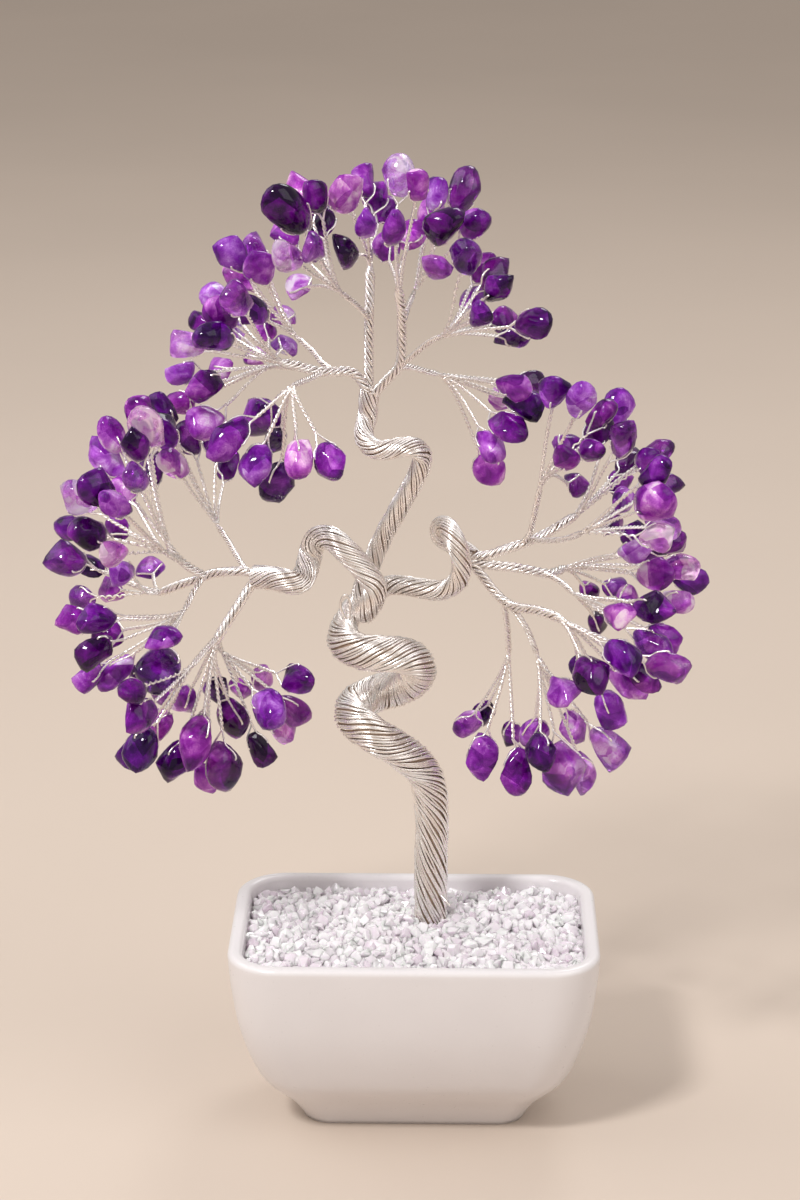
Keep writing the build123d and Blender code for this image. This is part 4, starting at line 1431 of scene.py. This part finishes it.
    def twig(self, line: np.ndarray, radius: float, stone: Stone) -> Run:
        """The twisted pair from the end of a stem to a stone.

        Args:
            line: The stem's middle line.
            radius: The stem's radius.
            stone: The stone.

        Returns:
            The pair's run.
        """
        tip = line[-1]
        along = unit(tip - line[-3])
        aside = unit(across_part(stone.mouth - tip, along))
        root = tip + (aside - along) * radius * self.twig_root_share
        end = stone.mouth - stone.inward * self.twist_end
        reach = np.linalg.norm(end - root) * self.twig_curve_share
        leaning = unit(along + unit(end - root))
        handles = np.stack([root, root + leaning * reach, end - stone.inward * reach, end])
        share = np.linspace(0, 1, self.twig_curve_steps)[:, None]
        curve = ((1 - share)**3 * handles[0] + 3 * (1 - share)**2 * share * handles[1]
                 + 3 * (1 - share) * share**2 * handles[2] + share**3 * handles[3])
        wire = self.twig_wire_radius
        return Run(smooth_path(curve, self.twig_step), 2, wire, wire * self.pair_reach_share, 0.0,
                   self.chance.random(), self.twig_lay)

    def loop(self, stone: Stone, surface: BVHTree) -> list[Run]:
        """The two legs that part at the end of the twist and go into the stone's drilled hole.

        Args:
            stone: The stone.
            surface: Its surface.

        Returns:
            A run for each leg.
        """
        inward, wide, out = stone.axes
        turn = self.chance.choice(self.loop_turns)
        turn += self.chance.uniform(-self.loop_sway, self.loop_sway)
        side = wide * math.cos(turn) + out * math.sin(turn)
        wire = self.twig_wire_radius
        legs = []
        for way in (side, -side):
            points = [stone.mouth - inward * self.twist_end + way * wire * self.leg_start_share]
            for depth in np.linspace(self.loop_start, stone.length * self.hole_share, self.loop_steps):
                base = Vector(stone.mouth + inward * depth)
                hit = surface.ray_cast(base + Vector(way) * self.clear_of_stone, Vector(-way))[0]
                if hit is not None:
                    points.append(np.array(hit) + way * wire * self.leg_height_share)
            points.append(points[-1] - way * self.leg_sink_share * wire + inward * wire)
            legs.append(Run(smooth_path(np.array(points), self.leg_step), 1, wire))
        return legs


@dataclass
class Pot:
    """The glazed pot, a rounded oblong that swells up from a short foot."""

    width: float = 100 * MM
    depth: float = 66 * MM
    height: float = 55 * MM
    corner: float = 14 * MM
    least_corner: float = 0.5 * MM
    foot_corner: float = 8 * MM
    foot_inset: float = 19 * MM
    wall: float = 4 * MM
    floor: float = 6 * MM
    foot_ring: float = 5 * MM
    foot_recess: float = 1.5 * MM
    lip_roll: float = 1.5 * MM
    corner_steps: int = 10
    lip_steps: int = 8
    side_levels: int = 44
    inner_levels: int = 16
    profile_step: float = 0.01

    # Height share and inset share of the outside, from the foot to the lip
    profile_shares: tuple[tuple[float, float], ...] = (
        (0.0, 1.03), (0.025, 1.0), (0.074, 0.92), (0.143, 0.78), (0.213, 0.6), (0.29, 0.44),
        (0.414, 0.29), (0.537, 0.18), (0.66, 0.105), (0.83, 0.04), (1.0, 0.0),
    )

    def outline(self, height: float, inset: float, behind: float) -> np.ndarray:
        """The rounded outline at a height.

        Args:
            height: The height.
            inset: How far the outside is drawn in there.
            behind: How far behind the outside this outline runs.

        Returns:
            Its points, as rows, from the middle of the right side round to the left.
        """
        corner = self.corner + (self.foot_corner - self.corner) * inset / self.foot_inset
        across = self.width / 2 - inset - corner
        back = self.depth / 2 - inset - corner
        away = max(corner - behind, self.least_corner)
        points = []
        for quarter, (sign_x, sign_y) in enumerate(((1, 1), (-1, 1), (-1, -1), (1, -1))):
            for step in range(self.corner_steps + 1):
                turn = (quarter + step / self.corner_steps) * math.pi / 2
                points.append((sign_x * across + away * math.cos(turn),
                               sign_y * back + away * math.sin(turn), height))
        return np.array(points)

    def side(self) -> tuple[np.ndarray, np.ndarray]:
        """The outside's profile.

        Returns:
            Its heights, and how far it is drawn in at each of them.
        """
        rises, insets = zip(*self.profile_shares)
        levels = np.linspace(0, 1, self.side_levels)
        curve = smooth_path(np.stack([rises, insets, np.zeros(len(rises))], axis=1),
                            self.profile_step)
        return levels * self.height, np.interp(levels, curve[:, 0], curve[:, 1]) * self.foot_inset

    def lip(self, top: float, inset: float) -> list[np.ndarray]:
        """The rings of the rolled lip, from the outside over to the inside.

        Args:
            top: The height at which the roll begins.
            inset: How far the outside is drawn in there.

        Returns:
            The rings.
        """
        turns = [math.pi / 2 * step / self.lip_steps for step in range(self.lip_steps + 1)]
        roll = self.lip_roll
        outer = [self.outline(top + roll * math.sin(turn), inset, roll * (1 - math.cos(turn)))
                 for turn in turns]
        inner = [self.outline(top + roll * math.cos(turn), inset,
                              self.wall - roll * (1 - math.sin(turn))) for turn in turns]
        return outer + inner

    def build(self) -> None:
        """Build the pot in one closed skin: outside, rolled lip, inside and foot."""
        heights, drawn_in = self.side()
        top = self.height - self.lip_roll
        rings = [self.outline(height, inset, 0) for height, inset in zip(heights, drawn_in)
                 if height < top]
        rings += self.lip(top, float(np.interp(top, heights, drawn_in)))
        for height in np.linspace(top, self.floor, self.inner_levels)[1:]:
            rings.append(self.outline(height, float(np.interp(height, heights, drawn_in)), self.wall))
        foot = [self.outline(height, self.foot_inset, self.foot_ring)
                for height in (self.foot_recess, 0)]
        piece = linked("pot_shell", self.skin(foot + rings))
        piece.data.materials.append(GLAZE.material())
        finished(piece, GLAZE, "pot")

    @staticmethod
    def skin(rings: list[np.ndarray]) -> bpy.types.Mesh:
        """Join rings of points into a closed skin.

        Args:
            rings: The rings from the roof under the foot, out, up and over to the inner floor.

        Returns:
            The mesh.
        """
        mesh = bmesh.new()
        loops = [[mesh.verts.new(point) for point in ring] for ring in rings]
        for lower, upper in zip(loops, loops[1:]):
            for spot in range(len(lower)):
                after = (spot + 1) % len(lower)
                mesh.faces.new((lower[spot], lower[after], upper[after], upper[spot]))
        mesh.faces.new(list(reversed(loops[0])))
        mesh.faces.new(loops[-1])
        bmesh.ops.recalc_face_normals(mesh, faces=mesh.faces)
        for face in mesh.faces:
            face.smooth = len(face.verts) == 4
        return kept_mesh("pot_shell", mesh)


@dataclass
class Gravel:
    """The bed of crushed quartz with loose grains on it, and the plaster under it."""

    grain_size: float = 2.25 * MM
    grain_spacing: float = 1.6 * MM
    grain_density: float = 900000.0
    seed: int = 3
    kinds: int = 5
    corners: int = 14
    # A grain's length, width and thickness against each other
    grain_shares: Place = (1.0, 0.85, 0.7)
    # By chance: how far a grain is lifted and how big it is, in grain sizes, and how it is turned
    lift_shares: tuple[float, float] = (-0.3, 0.55)
    size_shares: tuple[float, float] = (0.6, 1.25)
    turns: tuple[float, float] = (0.0, 6.3)
    # How far up a face has to look to carry grains
    upward: float = 0.5
    chance: random.Random = field(default_factory=lambda: random.Random(23))

    def grain_kinds(self) -> bpy.types.Collection:
        """A few grains, each the hull of corners strewn over a ball.

        Returns:
            The collection that holds them.
        """
        kinds = bpy.data.collections.new("grain_kinds")
        for number in range(self.kinds):
            hull = bmesh.new()
            for _ in range(self.corners):
                corner = Vector([self.chance.gauss(0, 1) for _ in range(3)]).normalized()
                hull.verts.new([part * share for part, share in zip(corner, self.grain_shares)])
            bmesh.ops.convex_hull(hull, input=hull.verts)
            bmesh.ops.recalc_face_normals(hull, faces=hull.faces)
            name = f"grain_{number}"
            kinds.objects.link(bpy.data.objects.new(name, kept_mesh(name, hull)))
        return kinds

    def scatter_tree(self) -> GrowingTree:
        """The tree that strews grains over the upper faces of a bed.

        Returns:
            The tree.
        """
        tree = GrowingTree("strewn grains", {
            "Spacing": (InputKind.NUMBER, self.grain_spacing),
            "Density": (InputKind.NUMBER, self.grain_density),
            "Grain size": (InputKind.NUMBER, self.grain_size), "Seed": (InputKind.COUNT, self.seed),
            "Kinds": (InputKind.COLLECTION, self.grain_kinds()),
            "Material": (InputKind.MATERIAL, QUARTZ.material()),
        })
        graph = tree.graph
        upward = graph.add("ShaderNodeSeparateXYZ", {}, {0: graph.add("GeometryNodeInputNormal")}, 2)
        spots = graph.add("GeometryNodeDistributePointsOnFaces", {"distribute_method": "POISSON"}, {
            "Mesh": tree.given("Geometry"), "Selection": upward > self.upward,
            "Distance Min": tree.given("Spacing"), "Density Max": tree.given("Density"),
            "Seed": tree.given("Seed")})

        def chance(bounds: tuple[float, float], offset: float) -> Socket:
            """A number by chance for each grain."""
            return graph.chance(*bounds, {"Seed": tree.given("Seed") + offset})

        lift = graph.combined(0.0, 0.0, chance(self.lift_shares, 1.0) * tree.given("Grain size"))
        turn = graph.combined(*(chance(self.turns, offset) for offset in (2.0, 3.0, 4.0)))
        size = tree.given("Grain size") * chance(self.size_shares, 5.0)
        kinds = graph.add("GeometryNodeCollectionInfo", {}, {
            "Collection": tree.given("Kinds"), "Separate Children": True, "Reset Children": True})
        grains = graph.add("GeometryNodeInstanceOnPoints", {}, {
            "Points": graph.moved(spots, lift), "Instance": kinds, "Pick Instance": True,
            "Rotation": turn, "Scale": graph.combined(size, size, size)})
        tree.finish(graph.marked(grains, "grain_tone", chance((0.0, 1.0), 6.0), "INSTANCE"))
        return tree

    def build(self) -> None:
        """Strew the grains over the bed, and dress the bed and the plaster under them."""
        tree = self.scatter_tree()
        bed = kept_mesh("bed_copy", welded(frame["nodes"]["gravel_bed"].data))
        finished(tree.grow("gravel_grains", bed), QUARTZ)
        kinds = tree.usual["Kinds"]
        for grain in list(kinds.objects):
            bpy.data.objects.remove(grain)
        bpy.data.collections.remove(kinds)
        for node, finish in (("gravel_bed", BED), ("plaster_fill", PLASTER)):
            data = frame["nodes"][node].data
            data.materials.clear()
            data.materials.append(finish.material())


@dataclass(frozen=True)
class Lamp:
    """A soft square lamp that is aimed at the tree: its name, place, side and power."""

    name: str
    place: Place
    size: float
    power: float

    def hang(self) -> None:
        """Hang the lamp."""
        light = bpy.data.lights.new(self.name, "AREA")
        light.size = self.size
        light.energy = self.power
        lamp = linked(self.name, light)
        lamp.location = self.place
        lamp.rotation_euler = (AIM - Vector(self.place)).to_track_quat("-Z", "Y").to_euler()


@dataclass
class Studio:
    """The floor, the lamps, the pale surround and the camera."""

    floor_size: float = 12.0
    lamps: tuple[Lamp, ...] = (
        Lamp("key", (-0.55, -0.75, 1.15), 0.21, 12.5),
        Lamp("fill", (0.85, -0.6, 1.05), 1.1, 6.0),
        Lamp("panel", (-0.9, 0.15, 1.05), 1.1, 5.0),
        Lamp("rim", (0.3, 0.85, 1.05), 0.4, 3.0),
    )
    surround: Colour = (0.97, 0.91, 0.86, 1.0)
    surround_light: float = 0.5

    def build(self) -> None:
        """Build the floor, the lamps, the surround and the camera."""
        half = self.floor_size / 2
        mesh = bpy.data.meshes.new("floor")
        mesh.from_pydata([(-half, -half, 0), (half, -half, 0), (half, half, 0), (-half, half, 0)],
                         [], [(0, 1, 2, 3)])
        mesh.materials.append(FLOOR.material())
        linked("floor", mesh)
        for lamp in self.lamps:
            lamp.hang()
        self.build_surround()
        self.build_camera()
        bpy.context.scene.view_settings.view_transform = "Standard"

    def build_surround(self) -> None:
        """Light the scene evenly from all round."""
        world = bpy.data.worlds.new("surround")
        world.use_nodes = True
        bpy.context.scene.world = world
        graph = Graph(world.node_tree)
        glow = graph.add("ShaderNodeBackground", {},
                         {"Color": self.surround, "Strength": self.surround_light})
        graph.add("ShaderNodeOutputWorld", {}, {"Surface": glow})

    def build_camera(self) -> None:
        """Set the camera at the photograph's view."""
        film = bpy.data.cameras.new("camera")
        film.sensor_fit = "VERTICAL"
        film.sensor_height = FILM_HEIGHT
        film.lens = LENS
        camera = linked("camera", film)
        camera.location = EYE
        camera.rotation_euler = (AIM - EYE).to_track_quat("-Z", "Y").to_euler()
        bpy.context.scene.camera = camera


def main() -> None:
    """Build every piece in order."""
    logging.basicConfig(level=logging.INFO, format="%(name)s: %(message)s")
    Pot().build()
    Gravel().build()
    Tree().build()
    Studio().build()


if __name__ == "__main__":
    main()
